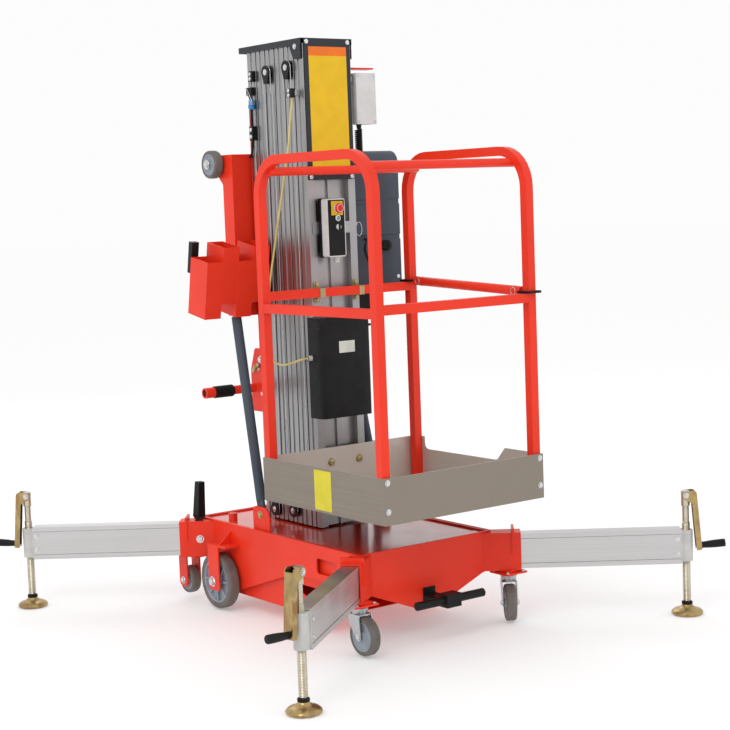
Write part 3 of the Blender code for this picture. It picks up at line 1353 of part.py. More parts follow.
def build_gate(top_section):
    lift = RAIL / 2 + GATE_LOOP / 2 + SEAT
    rear = Vector((RAIL_REAR_X, post_y(), REAR_RAIL_Z + lift))
    front = Vector((RAIL_FRONT_X, post_y(), FRONT_RAIL_Z + lift))
    inner = RAIL / 2 + GATE_GAP
    outer = inner + GATE_LOOP
    direction = (front - rear).normalized()
    bar_start = rear + direction * (outer + GATE_NECK / 2)
    bar_end = front - direction * (outer + GATE_NECK / 2)
    pieces = [rod(bar_start, bar_end, GATE_RADIUS, 12)]
    for place, sign in ((rear, 1), (front, -1)):
        low = (place.x - outer, place.y - outer)
        high = (place.x + outer, place.y + outer)
        eye = rectangle((place.x - inner, place.y - inner), (place.x + inner, place.y + inner))
        pieces.append(plate(rectangle(low, high), GATE_LOOP, "XY", place.z, [eye]))
        start = place + direction * sign * (outer - 0.002)
        pieces.append(rod(start, start + direction * sign * GATE_NECK, 0.0035, 8))
    name_piece(fuse(*pieces), "gate_bar", "red paint", rear, top_section)


def build_rail_clamps(top_section):
    rear = MAST_FRONT_X + SEAT
    reach = RAIL / 2 * math.sqrt(2.0) + CLAMP_WIRE + 0.0005
    for side, left in SIDES:
        across = left * CLAMP_Y
        points = [(rear + 0.002, across, REAR_RAIL_Z - reach), (RAIL_REAR_X, across, REAR_RAIL_Z - reach)]
        for step in range(1, 8):
            turn = math.pi * step / 8
            points.append((RAIL_REAR_X + reach * math.sin(turn), across, REAR_RAIL_Z - reach * math.cos(turn)))
        points += [(RAIL_REAR_X, across, REAR_RAIL_Z + reach), (rear + 0.002, across, REAR_RAIL_Z + reach)]
        saddle_front = RAIL_REAR_X - RAIL / 2 - SEAT
        saddle = block((rear, across - 0.011, REAR_RAIL_Z - reach - 0.012), (rear + 0.004, across + 0.011, REAR_RAIL_Z + reach + 0.012))
        spacer = block((rear + 0.003, across - 0.009, REAR_RAIL_Z - 0.012), (saddle_front, across + 0.009, REAR_RAIL_Z + 0.012))
        clamp = fuse(saddle, spacer, pipe(points, CLAMP_WIRE, 1))
        name_piece(clamp, "rail_clamp_" + side, "zinc", (rear, across, REAR_RAIL_Z), top_section)


# Cable: its route from the anchor on the last section to the document box
CABLE_RADIUS = 0.004
CABLE_ROUTE = (
    (-0.0231, -0.1320, 1.7906),
    (-0.0231, -0.1320, 1.7740),
    (-0.0335, -0.1362, 1.7050),
    (-0.0461, -0.1400, 1.6181),
    (-0.0882, -0.1450, 1.4646),
    (-0.1325, -0.1490, 1.3107),
    (-0.1730, -0.1570, 1.1405),
    (-0.1863, -0.1640, 1.0150),
    (-0.1813, -0.1660, 0.9340),
    (-0.1560, -0.1680, 0.8950),
    (-0.1135, -0.1700, 0.8810),
    (-0.0707, -0.1720, 0.8816),
    (-0.0200, -0.1760, 0.8911),
    (0.0095, -0.1740, 0.8995),
    (0.0222, -0.1650, 0.9045),
    (0.0238, -0.1550, 0.9060),
    (0.0238, -0.1443, 0.9060),
)


def smooth_route(points, spacing):
    """Points of a smooth curve through the route, a fixed distance apart."""
    places = [Vector(point) for point in points]
    padded = [places[0] * 2 - places[1], *places, places[-1] * 2 - places[-2]]
    fine = []
    for index in range(1, len(padded) - 2):
        before, here, after, beyond = padded[index - 1:index + 3]
        for step in range(24):
            t = step / 24
            fine.append(0.5 * (
                2 * here
                + (after - before) * t
                + (2 * before - 5 * here + 4 * after - beyond) * t * t
                + (3 * here - before - 3 * after + beyond) * t * t * t
            ))
    fine.append(places[-1])
    route = [fine[0]]
    for place in fine[1:-1]:
        if (place - route[-1]).length >= spacing and (places[-1] - place).length >= spacing / 2:
            route.append(place)
    return route + [fine[-1]]


def build_cable(top_section):
    route = smooth_route(CABLE_ROUTE, CABLE_RADIUS * 5.0)
    cable = pipe([tuple(place) for place in route], CABLE_RADIUS, 2)
    name_piece(cable, "control_cable", "yellow cable", CABLE_ROUTE[0], top_section)


CHASSIS = build_chassis()
build_wheels(CHASSIS)
build_outriggers(CHASSIS)
SECTIONS = build_mast(CHASSIS)
build_anchors(SECTIONS)
build_column(CHASSIS)
build_bank(CHASSIS)
build_struts(CHASSIS)
build_handles(CHASSIS)
build_cover(CHASSIS)
build_lift_handle(CHASSIS)
build_socket_lever(CHASSIS)
TOP_SECTION = SECTIONS[-1]
build_cap(TOP_SECTION)
build_sign(TOP_SECTION)
build_boxes(TOP_SECTION)
build_tray(TOP_SECTION)
build_guard_rail(TOP_SECTION)
build_gate(TOP_SECTION)
build_rail_clamps(TOP_SECTION)
build_cable(TOP_SECTION)
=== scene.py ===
"""Looks of the vertical mast lift: camera, cable, finishes, rounded edges, wheels and trim.

Metres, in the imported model's frame: X to the platform side, Y to the machine's left, Z up.
"""

import json
import math

import bmesh
import bpy
from mathutils import Matrix, Vector


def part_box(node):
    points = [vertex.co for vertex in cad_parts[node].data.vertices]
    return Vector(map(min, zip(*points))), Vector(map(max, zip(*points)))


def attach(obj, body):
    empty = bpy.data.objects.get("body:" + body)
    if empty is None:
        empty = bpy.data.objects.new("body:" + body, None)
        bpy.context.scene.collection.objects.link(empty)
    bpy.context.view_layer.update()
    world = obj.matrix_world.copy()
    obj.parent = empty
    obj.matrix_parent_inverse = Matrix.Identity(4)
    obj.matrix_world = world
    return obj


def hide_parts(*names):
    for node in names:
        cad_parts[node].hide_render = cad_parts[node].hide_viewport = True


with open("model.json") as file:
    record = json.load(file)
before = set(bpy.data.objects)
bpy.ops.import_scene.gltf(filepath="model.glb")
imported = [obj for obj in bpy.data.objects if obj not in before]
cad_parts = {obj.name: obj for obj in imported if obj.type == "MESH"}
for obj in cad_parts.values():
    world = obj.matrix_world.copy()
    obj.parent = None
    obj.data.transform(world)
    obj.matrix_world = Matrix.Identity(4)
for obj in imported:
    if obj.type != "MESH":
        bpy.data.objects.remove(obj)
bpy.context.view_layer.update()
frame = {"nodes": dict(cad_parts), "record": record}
NODES = frame["nodes"]
SCENE = bpy.context.scene
BODY_OF = {
    node: body
    for body, members in frame["record"]["behaviour"]["bodies"].items()
    for node in members
}

# Camera, fitted to the photograph's edges
CAMERA_PLACE = (4.6763, -3.3457, 1.4398)
CAMERA_LENS = 81.91
CAMERA_SENSOR = 36.0
CAMERA_YAW = math.radians(143.477)
CAMERA_PITCH = math.radians(-5.6987)
CAMERA_ROLL = math.radians(-2.1639)

# Corners and sides, as the solids have them
JACK_X = 0.874
JACK_Y = 0.790
BEAM_ANGLE = math.radians(51.0)
CORNERS = (
    ("front_right", 1, -1),
    ("front_left", 1, 1),
    ("rear_right", -1, -1),
    ("rear_left", -1, 1),
)
SIDES = (("right", -1), ("left", 1))
BEAM_MIDDLE_Z = 0.239

# Mast sections, as the solids have them
MAST_REAR_X = -0.340
MAST_FRONT_X = 0.0055
MAST_HALF = 0.100
SECTION_DEPTH = 0.053
SECTION_PITCH = 0.0585

# Wheels, as the solids have them. A form is radius, width, tread, hub, bore and number of ribs
WHEEL_Y = 0.310
BIG_X = -0.340
BIG_Z = 0.105
TIP_X = -0.550
TIP_Z = 0.076
LOADING_X = -0.445
LOADING_Z = 1.583
CASTER_X = 0.505
CASTER_Y = 0.315
CASTER_TRAIL = 0.026
CASTER_AXLE_Z = 0.0675
CASTER_TURNS = {"right": 0.0, "left": -35.0}
BIG_FORM = (0.100, 0.042, 0.022, 0.022, 0.0086, 8)
SMALL_FORM = (0.050, 0.037, 0.012, 0.014, 0.0066, 0)
CASTER_FORM = (0.0625, 0.036, 0.014, 0.014, 0.0056, 0)

# Cable, on the same route as its solid
CABLE_DIAMETER = 0.008
CABLE_ROUTE = (
    (-0.0231, -0.1320, 1.7906), (-0.0231, -0.1320, 1.7740), (-0.0335, -0.1362, 1.7050),
    (-0.0461, -0.1400, 1.6181), (-0.0882, -0.1450, 1.4646), (-0.1325, -0.1490, 1.3107),
    (-0.1730, -0.1570, 1.1405), (-0.1863, -0.1640, 1.0150), (-0.1813, -0.1660, 0.9340),
    (-0.1560, -0.1680, 0.8950), (-0.1135, -0.1700, 0.8810), (-0.0707, -0.1720, 0.8816),
    (-0.0200, -0.1760, 0.8911), (0.0095, -0.1740, 0.8995), (0.0222, -0.1650, 0.9045),
    (0.0238, -0.1550, 0.9060), (0.0238, -0.1443, 0.9060),
)


def build_camera():
    data = bpy.data.cameras.new("camera")
    data.lens = CAMERA_LENS
    data.sensor_width = CAMERA_SENSOR
    data.clip_end = 100.0
    camera = bpy.data.objects.new("camera", data)
    SCENE.collection.objects.link(camera)
    ahead = Vector((
        math.cos(CAMERA_YAW) * math.cos(CAMERA_PITCH),
        math.sin(CAMERA_YAW) * math.cos(CAMERA_PITCH),
        math.sin(CAMERA_PITCH),
    ))
    right = ahead.cross(Vector((0.0, 0.0, 1.0))).normalized()
    up = right.cross(ahead)
    leaned_right = right * math.cos(CAMERA_ROLL) + up * math.sin(CAMERA_ROLL)
    leaned_up = up * math.cos(CAMERA_ROLL) - right * math.sin(CAMERA_ROLL)
    turn = Matrix((leaned_right, leaned_up, -ahead)).transposed()
    camera.matrix_world = Matrix.Translation(CAMERA_PLACE) @ turn.to_4x4()
    SCENE.camera = camera


# Finishes
def new_look(name, colour, roughness, metallic=0.0, coat=0.0, coat_roughness=0.1, specular=0.5):
    material = bpy.data.materials.new(name)
    material.use_nodes = True
    shader = material.node_tree.nodes["Principled BSDF"]
    for socket, value in (
        ("Base Color", (*colour, 1.0)),
        ("Roughness", roughness),
        ("Metallic", metallic),
        ("Coat Weight", coat),
        ("Coat Roughness", coat_roughness),
        ("Specular IOR Level", specular),
    ):
        shader.inputs[socket].default_value = value
    return material


def add_noise(material, scale, stretch=(1.0, 1.0, 1.0), turn=0.0, detail=3.0):
    """A noise over the object's own coordinates, turned about Z and stretched along its axes."""
    nodes = material.node_tree.nodes
    links = material.node_tree.links
    place = nodes.new("ShaderNodeTexCoord")
    spun = nodes.new("ShaderNodeMapping")
    spun.inputs["Rotation"].default_value = (0.0, 0.0, turn)
    drawn = nodes.new("ShaderNodeMapping")
    drawn.inputs["Scale"].default_value = stretch
    noise = nodes.new("ShaderNodeTexNoise")
    noise.inputs["Scale"].default_value = scale
    noise.inputs["Detail"].default_value = detail
    links.new(place.outputs["Object"], spun.inputs["Vector"])
    links.new(spun.outputs["Vector"], drawn.inputs["Vector"])
    links.new(drawn.outputs["Vector"], noise.inputs["Vector"])
    return noise.outputs["Fac"]


def link_to_shader(material, source, socket):
    shader = material.node_tree.nodes["Principled BSDF"]
    material.node_tree.links.new(source, shader.inputs[socket])


def tint(material, source, stops):
    """Colours the base through a ramp of position and linear colour."""
    nodes = material.node_tree.nodes
    ramp = nodes.new("ShaderNodeValToRGB")
    elements = ramp.color_ramp.elements
    while len(elements) < len(stops):
        elements.new(0.5)
    for element, (position, colour) in zip(elements, stops):
        element.position = position
        element.color = (*colour, 1.0)
    material.node_tree.links.new(source, ramp.inputs["Fac"])
    link_to_shader(material, ramp.outputs["Color"], "Base Color")


def vary_roughness(material, source, low, high):
    nodes = material.node_tree.nodes
    spread = nodes.new("ShaderNodeMapRange")
    spread.inputs["From Min"].default_value = 0.3
    spread.inputs["From Max"].default_value = 0.7
    spread.inputs["To Min"].default_value = low
    spread.inputs["To Max"].default_value = high
    material.node_tree.links.new(source, spread.inputs["Value"])
    link_to_shader(material, spread.outputs["Result"], "Roughness")


def roughen(material, source, depth):
    nodes = material.node_tree.nodes
    bump = nodes.new("ShaderNodeBump")
    bump.inputs["Strength"].default_value = 1.0
    bump.inputs["Distance"].default_value = depth
    material.node_tree.links.new(source, bump.inputs["Height"])
    link_to_shader(material, bump.outputs["Normal"], "Normal")


def paint_look(name, dark, light, roughness, coat, specular=0.25):
    """Sprayed paint: a faint change of shade over half a metre and a fine orange peel."""
    material = new_look(name, light, roughness, 0.0, coat, 0.12, specular)
    tint(material, add_noise(material, 2.5), [(0.35, dark), (0.65, light)])
    vary_roughness(material, add_noise(material, 14.0), roughness - 0.05, roughness + 0.06)
    roughen(material, add_noise(material, 420.0, detail=1.0), 0.00006)
    return material


def metal_look(name, dark, light, roughness, stretch, turn=0.0, scale=260.0, metallic=1.0, depth=0.00001):
    """Drawn or rolled metal with streaks along the axis that stretch leaves small."""
    material = new_look(name, light, roughness, metallic)
    tint(material, add_noise(material, scale, stretch, turn, 4.0), [(0.30, dark), (0.70, light)])
    vary_roughness(material, add_noise(material, 9.0), roughness - 0.05, roughness + 0.06)
    roughen(material, add_noise(material, scale * 2.0, stretch, turn, 2.0), depth)
    return material


def plastic_look(name, dark, light, roughness, grain=600.0, depth=0.00012, specular=0.3):
    material = new_look(name, light, roughness, specular=specular)
    tint(material, add_noise(material, 22.0), [(0.35, dark), (0.65, light)])
    vary_roughness(material, add_noise(material, 30.0), roughness - 0.05, roughness + 0.08)
    roughen(material, add_noise(material, grain, detail=2.0), depth)
    return material


def zinc_look(name, roughness, *colours):
    """Passivated zinc, whose film drifts between straw, green and rose."""
    material = new_look(name, colours[0], roughness, 1.0)
    film = add_noise(material, 26.0, (1.0, 1.0, 0.5), detail=2.0)
    tint(material, film, list(zip((0.30, 0.45, 0.60, 0.75), colours)))
    vary_roughness(material, add_noise(material, 60.0), roughness - 0.05, roughness + 0.08)
    roughen(material, add_noise(material, 300.0, detail=2.0), 0.00002)
    return material


ALONG_Z = (1.0, 1.0, 0.0015)
ALONG_X = (0.006, 1.0, 1.0)
EVEN = (1.0, 1.0, 1.0)

RED = paint_look("red_paint", (0.74, 0.030, 0.009), (0.83, 0.036, 0.011), 0.38, 0.04)
DECK_RED = paint_look("deck_red", (0.66, 0.030, 0.012), (0.74, 0.036, 0.014), 0.20, 0.5)
DARK_GREY = paint_look("dark_grey_paint", (0.020, 0.023, 0.028), (0.027, 0.031, 0.038), 0.42, 0.0)
BLUE_GREY = paint_look("blue_grey_paint", (0.052, 0.066, 0.086), (0.064, 0.080, 0.102), 0.44, 0.0)
MAST_METAL = metal_look(
    "mast_aluminium", (0.345, 0.345, 0.35), (0.375, 0.375, 0.38), 0.34, ALONG_Z, depth=0.0
)
SHEET_METAL = metal_look("tray_steel", (0.25, 0.215, 0.180), (0.29, 0.252, 0.212), 0.36, ALONG_X)
TRAY_INSIDE = metal_look("tray_inside", (0.52, 0.47, 0.42), (0.58, 0.53, 0.48), 0.42, ALONG_X, metallic=0.35)
# Painted shade: a darker metal laid on the beams' recessed chamfers, where shade falls
BEAM_RECESS_SHADE = metal_look("beam_recess_shade", (0.20, 0.20, 0.20), (0.24, 0.24, 0.24), 0.40, ALONG_X)
CAST_METAL = plastic_look("cast_aluminium", (0.46, 0.45, 0.43), (0.54, 0.53, 0.51), 0.45)
STEEL = metal_look("bright_zinc", (0.56, 0.56, 0.57), (0.72, 0.72, 0.73), 0.24, EVEN)
GREY_ZINC = metal_look("grey_zinc", (0.42, 0.44, 0.46), (0.55, 0.57, 0.59), 0.34, EVEN)
GOLD_ZINC = zinc_look(
    "gold_zinc", 0.34, (0.34, 0.26, 0.13), (0.48, 0.40, 0.21), (0.40, 0.38, 0.20), (0.44, 0.29, 0.18)
)
PALE_ZINC = zinc_look(
    "pale_zinc", 0.30, (0.46, 0.41, 0.31), (0.60, 0.55, 0.44), (0.54, 0.51, 0.40), (0.52, 0.43, 0.34)
)
BROWN_ZINC = zinc_look(
    "brown_zinc", 0.30, (0.30, 0.17, 0.075), (0.46, 0.34, 0.15), (0.34, 0.24, 0.11), (0.38, 0.20, 0.10)
)
BLACK = plastic_look(
    "black_plastic", (0.005, 0.005, 0.0055), (0.008, 0.008, 0.0085), 0.42, depth=0.00006, specular=0.2
)
RUBBER = plastic_look("black_rubber", (0.005, 0.005, 0.005), (0.009, 0.009, 0.009), 0.58, specular=0.2)
WHITE = plastic_look("white_plastic", (0.56, 0.56, 0.55), (0.63, 0.63, 0.62), 0.42, 400.0, 0.00005)
RIM = plastic_look("wheel_rim", (0.26, 0.30, 0.35), (0.33, 0.37, 0.42), 0.48)
TREAD = plastic_look("wheel_tread", (0.125, 0.110, 0.100), (0.170, 0.150, 0.135), 0.62, 350.0, 0.0002)
YELLOW = plastic_look("yellow_film", (0.70, 0.43, 0.004), (0.75, 0.47, 0.006), 0.38, 500.0, 0.00003)
ORANGE = plastic_look("orange_film", (0.74, 0.15, 0.008), (0.80, 0.17, 0.010), 0.38, 500.0, 0.00003)
LIME = plastic_look("lime_film", (0.60, 0.52, 0.02), (0.68, 0.58, 0.03), 0.40, 500.0, 0.00003)
PALE_FILM = plastic_look("pale_film", (0.55, 0.58, 0.52), (0.66, 0.68, 0.62), 0.40, 500.0, 0.00003)
SIGNAL_RED = plastic_look("button_red", (0.62, 0.014, 0.010), (0.70, 0.020, 0.014), 0.30)
SIGNAL_GREEN = plastic_look("button_green", (0.10, 0.34, 0.26), (0.14, 0.42, 0.32), 0.30)
SKY_BLUE = plastic_look("connector_blue", (0.04, 0.20, 0.48), (0.06, 0.27, 0.58), 0.40)
SHEATH = plastic_look("cable_sheath", (0.52, 0.44, 0.15), (0.62, 0.53, 0.21), 0.46, 300.0, 0.0001)


def beam_metal(name, turn):
    return metal_look(name, (0.54, 0.53, 0.53), (0.59, 0.58, 0.58), 0.36, ALONG_X, turn)


# Modelling helpers
SHARP_ANGLE = math.radians(32.0)
BEVEL_ANGLE = math.radians(28.0)
FLAT_ANGLE = math.radians(0.5)
MERGE_DISTANCE = 0.00002
FILM_EDGE = 0.0002


def new_piece(name, mesh, body, looks):
    piece = bpy.data.objects.new(name, mesh)
    SCENE.collection.objects.link(piece)
    for look in looks:
        mesh.materials.append(look)
    mesh.shade_smooth()
    mesh.set_sharp_from_angle(angle=SHARP_ANGLE)
    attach(piece, body)
    return piece


def soften(piece, width, segments=2):
    bevel = piece.modifiers.new("soften", "BEVEL")
    bevel.width = width
    bevel.segments = segments
    bevel.limit_method = "ANGLE"
    bevel.angle_limit = BEVEL_ANGLE
    bevel.use_clamp_overlap = True


def mesh_from(shape, name):
    mesh = bpy.data.meshes.new(name)
    shape.to_mesh(mesh)
    shape.free()
    return mesh


def dress(node, look, width, accents=(), segments=2):
    """A copy of a solid with its edges rounded. An accent is a look and a test of a face's centre."""
    shape = bmesh.new()
    shape.from_mesh(NODES[node].data)
    for layer in list(shape.loops.layers.float_vector.values()):
        shape.loops.layers.float_vector.remove(layer)
    bmesh.ops.remove_doubles(shape, verts=shape.verts, dist=MERGE_DISTANCE)
    bmesh.ops.dissolve_limit(shape, angle_limit=FLAT_ANGLE, verts=shape.verts, edges=shape.edges)
    for face in shape.faces:
        face.material_index = 0
        centre = face.calc_center_median()
        for index, (_, test) in enumerate(accents):
            if test(centre):
                face.material_index = index + 1
    mesh = mesh_from(shape, node + "_finish")
    for attribute in [a for a in mesh.attributes if a.name == "custom_normal"]:
        mesh.attributes.remove(attribute)
    looks = [look] + [accent for accent, _ in accents]
    piece = new_piece(node + "_finish", mesh, BODY_OF[node], looks)
    soften(piece, width, segments)
    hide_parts(node)


def add_block(shape, low, high, matrix=Matrix.Identity(4)):
    low = Vector(low)
    high = Vector(high)
    scale = Matrix.Diagonal((*(high - low), 1.0))
    bmesh.ops.create_cube(
        shape, size=1.0, matrix=matrix @ Matrix.Translation((low + high) / 2) @ scale
    )


def facing(place, direction):
    turn = Vector(direction).to_track_quat("Z", "Y").to_matrix().to_4x4()
    return Matrix.Translation(place) @ turn


def mirrored(profile):
    """A profile followed by its reflection in height."""
    return profile + [(radius, -height) for radius, height in reversed(profile)]


def add_turned(shape, profile, matrix, steps=32, closed=False):
    """Sweeps a profile of radius and height about the matrix's Z axis."""
    rings = []
    for radius, height in profile:
        if radius == 0.0:
            rings.append([shape.verts.new(matrix @ Vector((0.0, 0.0, height)))])
            continue
        ring = []
        for step in range(steps):
            turn = math.tau * step / steps
            point = Vector((radius * math.cos(turn), radius * math.sin(turn), height))
            ring.append(shape.verts.new(matrix @ point))
        rings.append(ring)
    pairs = list(zip(rings, rings[1:]))
    if closed:
        pairs.append((rings[-1], rings[0]))
    for upper, lower in pairs:
        for step in range(steps):
            after = (step + 1) % steps
            if len(upper) == 1:
                corners = (upper[0], lower[step], lower[after])
            elif len(lower) == 1:
                corners = (upper[step], lower[0], upper[after])
            else:
                corners = (upper[step], lower[step], lower[after], upper[after])
            shape.faces.new(corners)


def add_hex_bolt(shape, place, direction, radius, height):
    """A hexagon head with its washer and the bolt's domed end."""
    matrix = facing(place, direction)
    washer = radius * 1.35
    end = radius * 0.42
    add_turned(shape, [
        (0.0, 0.0014), (washer - 0.0004, 0.0014), (washer, 0.0010), (washer, -0.0005),
        (0.0, -0.0005),
    ], matrix, 20)
    add_turned(shape, [
        (0.0, height), (radius * 0.82, height), (radius, height - 0.0008), (radius, 0.0010),
        (0.0, 0.0010),
    ], matrix, 6)
    add_turned(shape, [
        (0.0, height + 0.0010), (end - 0.0006, height + 0.0008), (end, height),
        (end, height - 0.0006), (0.0, height - 0.0006),
    ], matrix, 14)


def solid_piece(name, shape, body, look, width=0.0, segments=2):
    bmesh.ops.recalc_face_normals(shape, faces=shape.faces)
    piece = new_piece(name, mesh_from(shape, name), body, [look])
    if width:
        soften(piece, width, segments)
    return piece


def block_piece(name, low, high, body, look, slot, width):
    shape = bmesh.new()
    add_block(shape, low, high)
    solid_piece(name, shape, body, look, width, 3)


def black_block(name, low, high, width, body="carriage"):
    block_piece(name, low, high, body, BLACK, "black_plastic", width)


def film_piece(name, low, high, look):
    """A thin film on the carriage, left blank."""
    block_piece(name, low, high, "carriage", look, None, FILM_EDGE)


def turned_piece(name, profile, matrix, body, look, steps=32, closed=False):
    shape = bmesh.new()
    add_turned(shape, profile, matrix, steps, closed)
    return solid_piece(name, shape, body, look)


def bolt_piece(name, body, look, bolts):
    """Bolts in one piece: place, direction, radius, height."""
    shape = bmesh.new()
    for place, direction, radius, height in bolts:
        add_hex_bolt(shape, place, direction, radius, height)
    solid_piece(name, shape, body, look)


def bolt_pair(place, along, aside, up, radius, height):
    """Two bolts that face outward from the two sides of a turned part."""
    turn = place.to_3x3()
    return [
        (place @ Vector((along, sign * aside, up)), turn @ Vector((0.0, sign, 0.0)), radius, height)
        for sign in (-1, 1)
    ]


def bolt_grid(along, places, heights, radius, height):
    """Bolts that face the platform side, one at each place across and each height."""
    return [((along, across, up), (1, 0, 0), radius, height) for across in places for up in heights]


def corner_turn(forward, left):
    return math.atan2(left * math.sin(BEAM_ANGLE), forward * math.cos(BEAM_ANGLE))


def corner_frame(forward, left):
    turn = Matrix.Rotation(corner_turn(forward, left), 4, "Z")
    return Matrix.Translation((forward * JACK_X, left * JACK_Y, 0.0)) @ turn


def section_middle(index):
    return MAST_REAR_X + (index - 1) * SECTION_PITCH + SECTION_DEPTH / 2


def smooth_points(points, spacing):
    """Points of a smooth curve through a route, about the spacing apart."""
    places = [Vector(point) for point in points]
    padded = [places[0] * 2 - places[1], *places, places[-1] * 2 - places[-2]]
    fine = []
    for index in range(1, len(padded) - 2):
        before, here, after, beyond = padded[index - 1:index + 3]
        for step in range(24):
            t = step / 24
            fine.append(0.5 * (
                2 * here
                + (after - before) * t
                + (2 * before - 5 * here + 4 * after - beyond) * t * t
                + (3 * here - before - 3 * after + beyond) * t * t * t
            ))
    fine.append(places[-1])
    route = [fine[0]]
    for place in fine[1:-1]:
        if (place - route[-1]).length >= spacing and (places[-1] - place).length >= spacing / 2:
            route.append(place)
    return route + [fine[-1]]


def wire_piece(name, points, radius, body, look, resolution=4, cyclic=False):
    curve = bpy.data.curves.new(name, "CURVE")
    curve.dimensions = "3D"
    curve.bevel_depth = radius
    curve.bevel_resolution = resolution
    curve.use_fill_caps = not cyclic
    spline = curve.splines.new("POLY")
    spline.points.add(len(points) - 1)
    spline.use_cyclic_u = cyclic
    for point, place in zip(spline.points, points):
        point.co = (*place, 1.0)
    curve.materials.append(look)
    piece = bpy.data.objects.new(name, curve)
    SCENE.collection.objects.link(piece)
    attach(piece, body)
    return piece


def steel_wire(name, points, radius, body, cyclic=False):
    wire_piece(name, points, radius, body, STEEL, 2, cyclic)


def lead_piece(name, points, radius, body, look=RUBBER):
    """A lead that is held at both ends."""
    lead = wire_piece(name, points, radius, body, look)
    return lead


# Cable between the anchor and the document box
def build_cable():
    route = smooth_points(CABLE_ROUTE, 0.008)
    cable = lead_piece("control_cable_sheath", route, CABLE_DIAMETER / 2, "carriage", SHEATH)
    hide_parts("control_cable")


# Chassis
DECK_HEIGHT = 0.303


def on_deck(centre):
    return abs(centre.z - DECK_HEIGHT) < 0.0015 and abs(centre.x) < 0.53 and abs(centre.y) < 0.28


def build_chassis():
    dress("chassis_frame", RED, 0.0012, [(DECK_RED, on_deck)])
    dress("rear_column", RED, 0.0010)
    dress("pocket_bank", RED, 0.0008)
    for side, _ in SIDES:
        dress("strut_" + side, BLUE_GREY, 0.0012)
        dress("push_handle_" + side, RED, 0.0012)
    for node, width in (("lock_lever", 0.0040), ("stowage_lever", 0.0040), ("lift_handle", 0.0020)):
        dress(node, BLACK, width, segments=3)
    build_power_cover()
    dress("power_block", BLACK, 0.0030, segments=3)
    build_chassis_bolts()
    build_handle_bolts()
    build_power_trim()


def build_chassis_bolts():
    silver = []
    gold = []
    for _, forward, left in CORNERS:
        if forward < 0:
            place = corner_frame(forward, left)
            silver += bolt_pair(place, -0.632, 0.0333, BEAM_MIDDLE_Z, 0.0108, 0.0090)
    for _, left in SIDES:
        silver.append(((BIG_X, left * 0.342, BIG_Z), (0, left, 0), 0.0140, 0.0095))
        for across in (-1, 1):
            place = (TIP_X, left * WHEEL_Y + across * 0.0295, TIP_Z)
            silver.append((place, (0, across, 0), 0.0098, 0.0070))
        gold.append(((-0.130, left * 0.263, 0.362), (0, left, 0), 0.0105, 0.0066))
        for ahead in (-0.034, 0.034):
            for aside in (-0.034, 0.034):
                place = (CASTER_X + ahead, left * CASTER_Y + aside, 0.1695)
                silver.append((place, (0, 0, 1), 0.0072, 0.0046))
    for side, left in SIDES:
        low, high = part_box("loading_wheel_" + side)
        outer = high[1] if left > 0 else low[1]
        silver.append(((LOADING_X, outer + left * 0.0052, LOADING_Z), (0, left, 0), 0.0128, 0.0070))
    bolt_piece("chassis_bolts", "base", STEEL, silver)
    bolt_piece("lug_bolts", "base", GOLD_ZINC, gold)


def build_handle_bolts():
    """The bolts and the wing latch of each push handle's bracket."""
    for side, left in SIDES:
        bolts = [
            ((along, left * 0.1063, up), (0, left, 0), 0.0106, 0.0086)
            for along, up in ((-0.325, 0.880), (-0.314, 0.760), (-0.350, 0.850))
        ]
        bolt_piece("handle_bolts_" + side, "base", STEEL, bolts)
        latch = bmesh.new()
        centre = (-0.350, left * 0.1155, 0.850)
        add_turned(latch, [
            (0.0, 0.008), (0.006, 0.008), (0.009, 0.004), (0.009, -0.002), (0.0, -0.002),
        ], facing(centre, (0, left, 0)), 20)
        for lean in (-28.0, 152.0):
            wing = Matrix.Translation(centre) @ Matrix.Rotation(math.radians(lean), 4, "Y")
            add_block(latch, (0.004, -0.0022, -0.004), (0.026, 0.0022, 0.008), wing)
        solid_piece("wing_latch_" + side, latch, "base", GOLD_ZINC, 0.0012)


# Power unit's cover
COVER_REAR_X = -0.3527
COVER_FRONT_X = -0.056
COVER_Y = (0.106, 0.340)
COVER_Z = (1.130, 1.610)
COVER_ROUND = 0.045
GROOVE_DEPTH = 0.004
GROOVE_HALF = 0.007
GROOVES = (1.303, 1.429)
KNOB_PLACE = (COVER_FRONT_X, 0.268, 1.273)


def build_power_cover():
    """The moulded cover: an outline with a rolled top and two wide grooves, drawn across the machine."""
    outline = [(COVER_REAR_X, COVER_Z[0]), (COVER_FRONT_X, COVER_Z[0])]
    for height in GROOVES:
        outline += [
            (COVER_FRONT_X, height - GROOVE_HALF - GROOVE_DEPTH / 2),
            (COVER_FRONT_X - GROOVE_DEPTH, height - GROOVE_HALF),
            (COVER_FRONT_X - GROOVE_DEPTH, height + GROOVE_HALF),
            (COVER_FRONT_X, height + GROOVE_HALF + GROOVE_DEPTH / 2),
        ]
    for step in range(9):
        turn = math.pi / 2 * step / 8
        outline.append((
            COVER_FRONT_X - COVER_ROUND * (1.0 - math.cos(turn)),
            COVER_Z[1] - COVER_ROUND * (1.0 - math.sin(turn)),
        ))
    outline.append((COVER_REAR_X, COVER_Z[1]))
    shape = bmesh.new()
    near = [shape.verts.new((along, COVER_Y[0], up)) for along, up in outline]
    far = [shape.verts.new((along, COVER_Y[1], up)) for along, up in outline]
    shape.faces.new(near)
    shape.faces.new(list(reversed(far)))
    for index in range(len(outline)):
        after = (index + 1) % len(outline)
        shape.faces.new((near[index], far[index], far[after], near[after]))
    cover = solid_piece("power_cover_shell", shape, "base", BLUE_GREY, 0.0022, 3)
    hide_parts("power_cover")


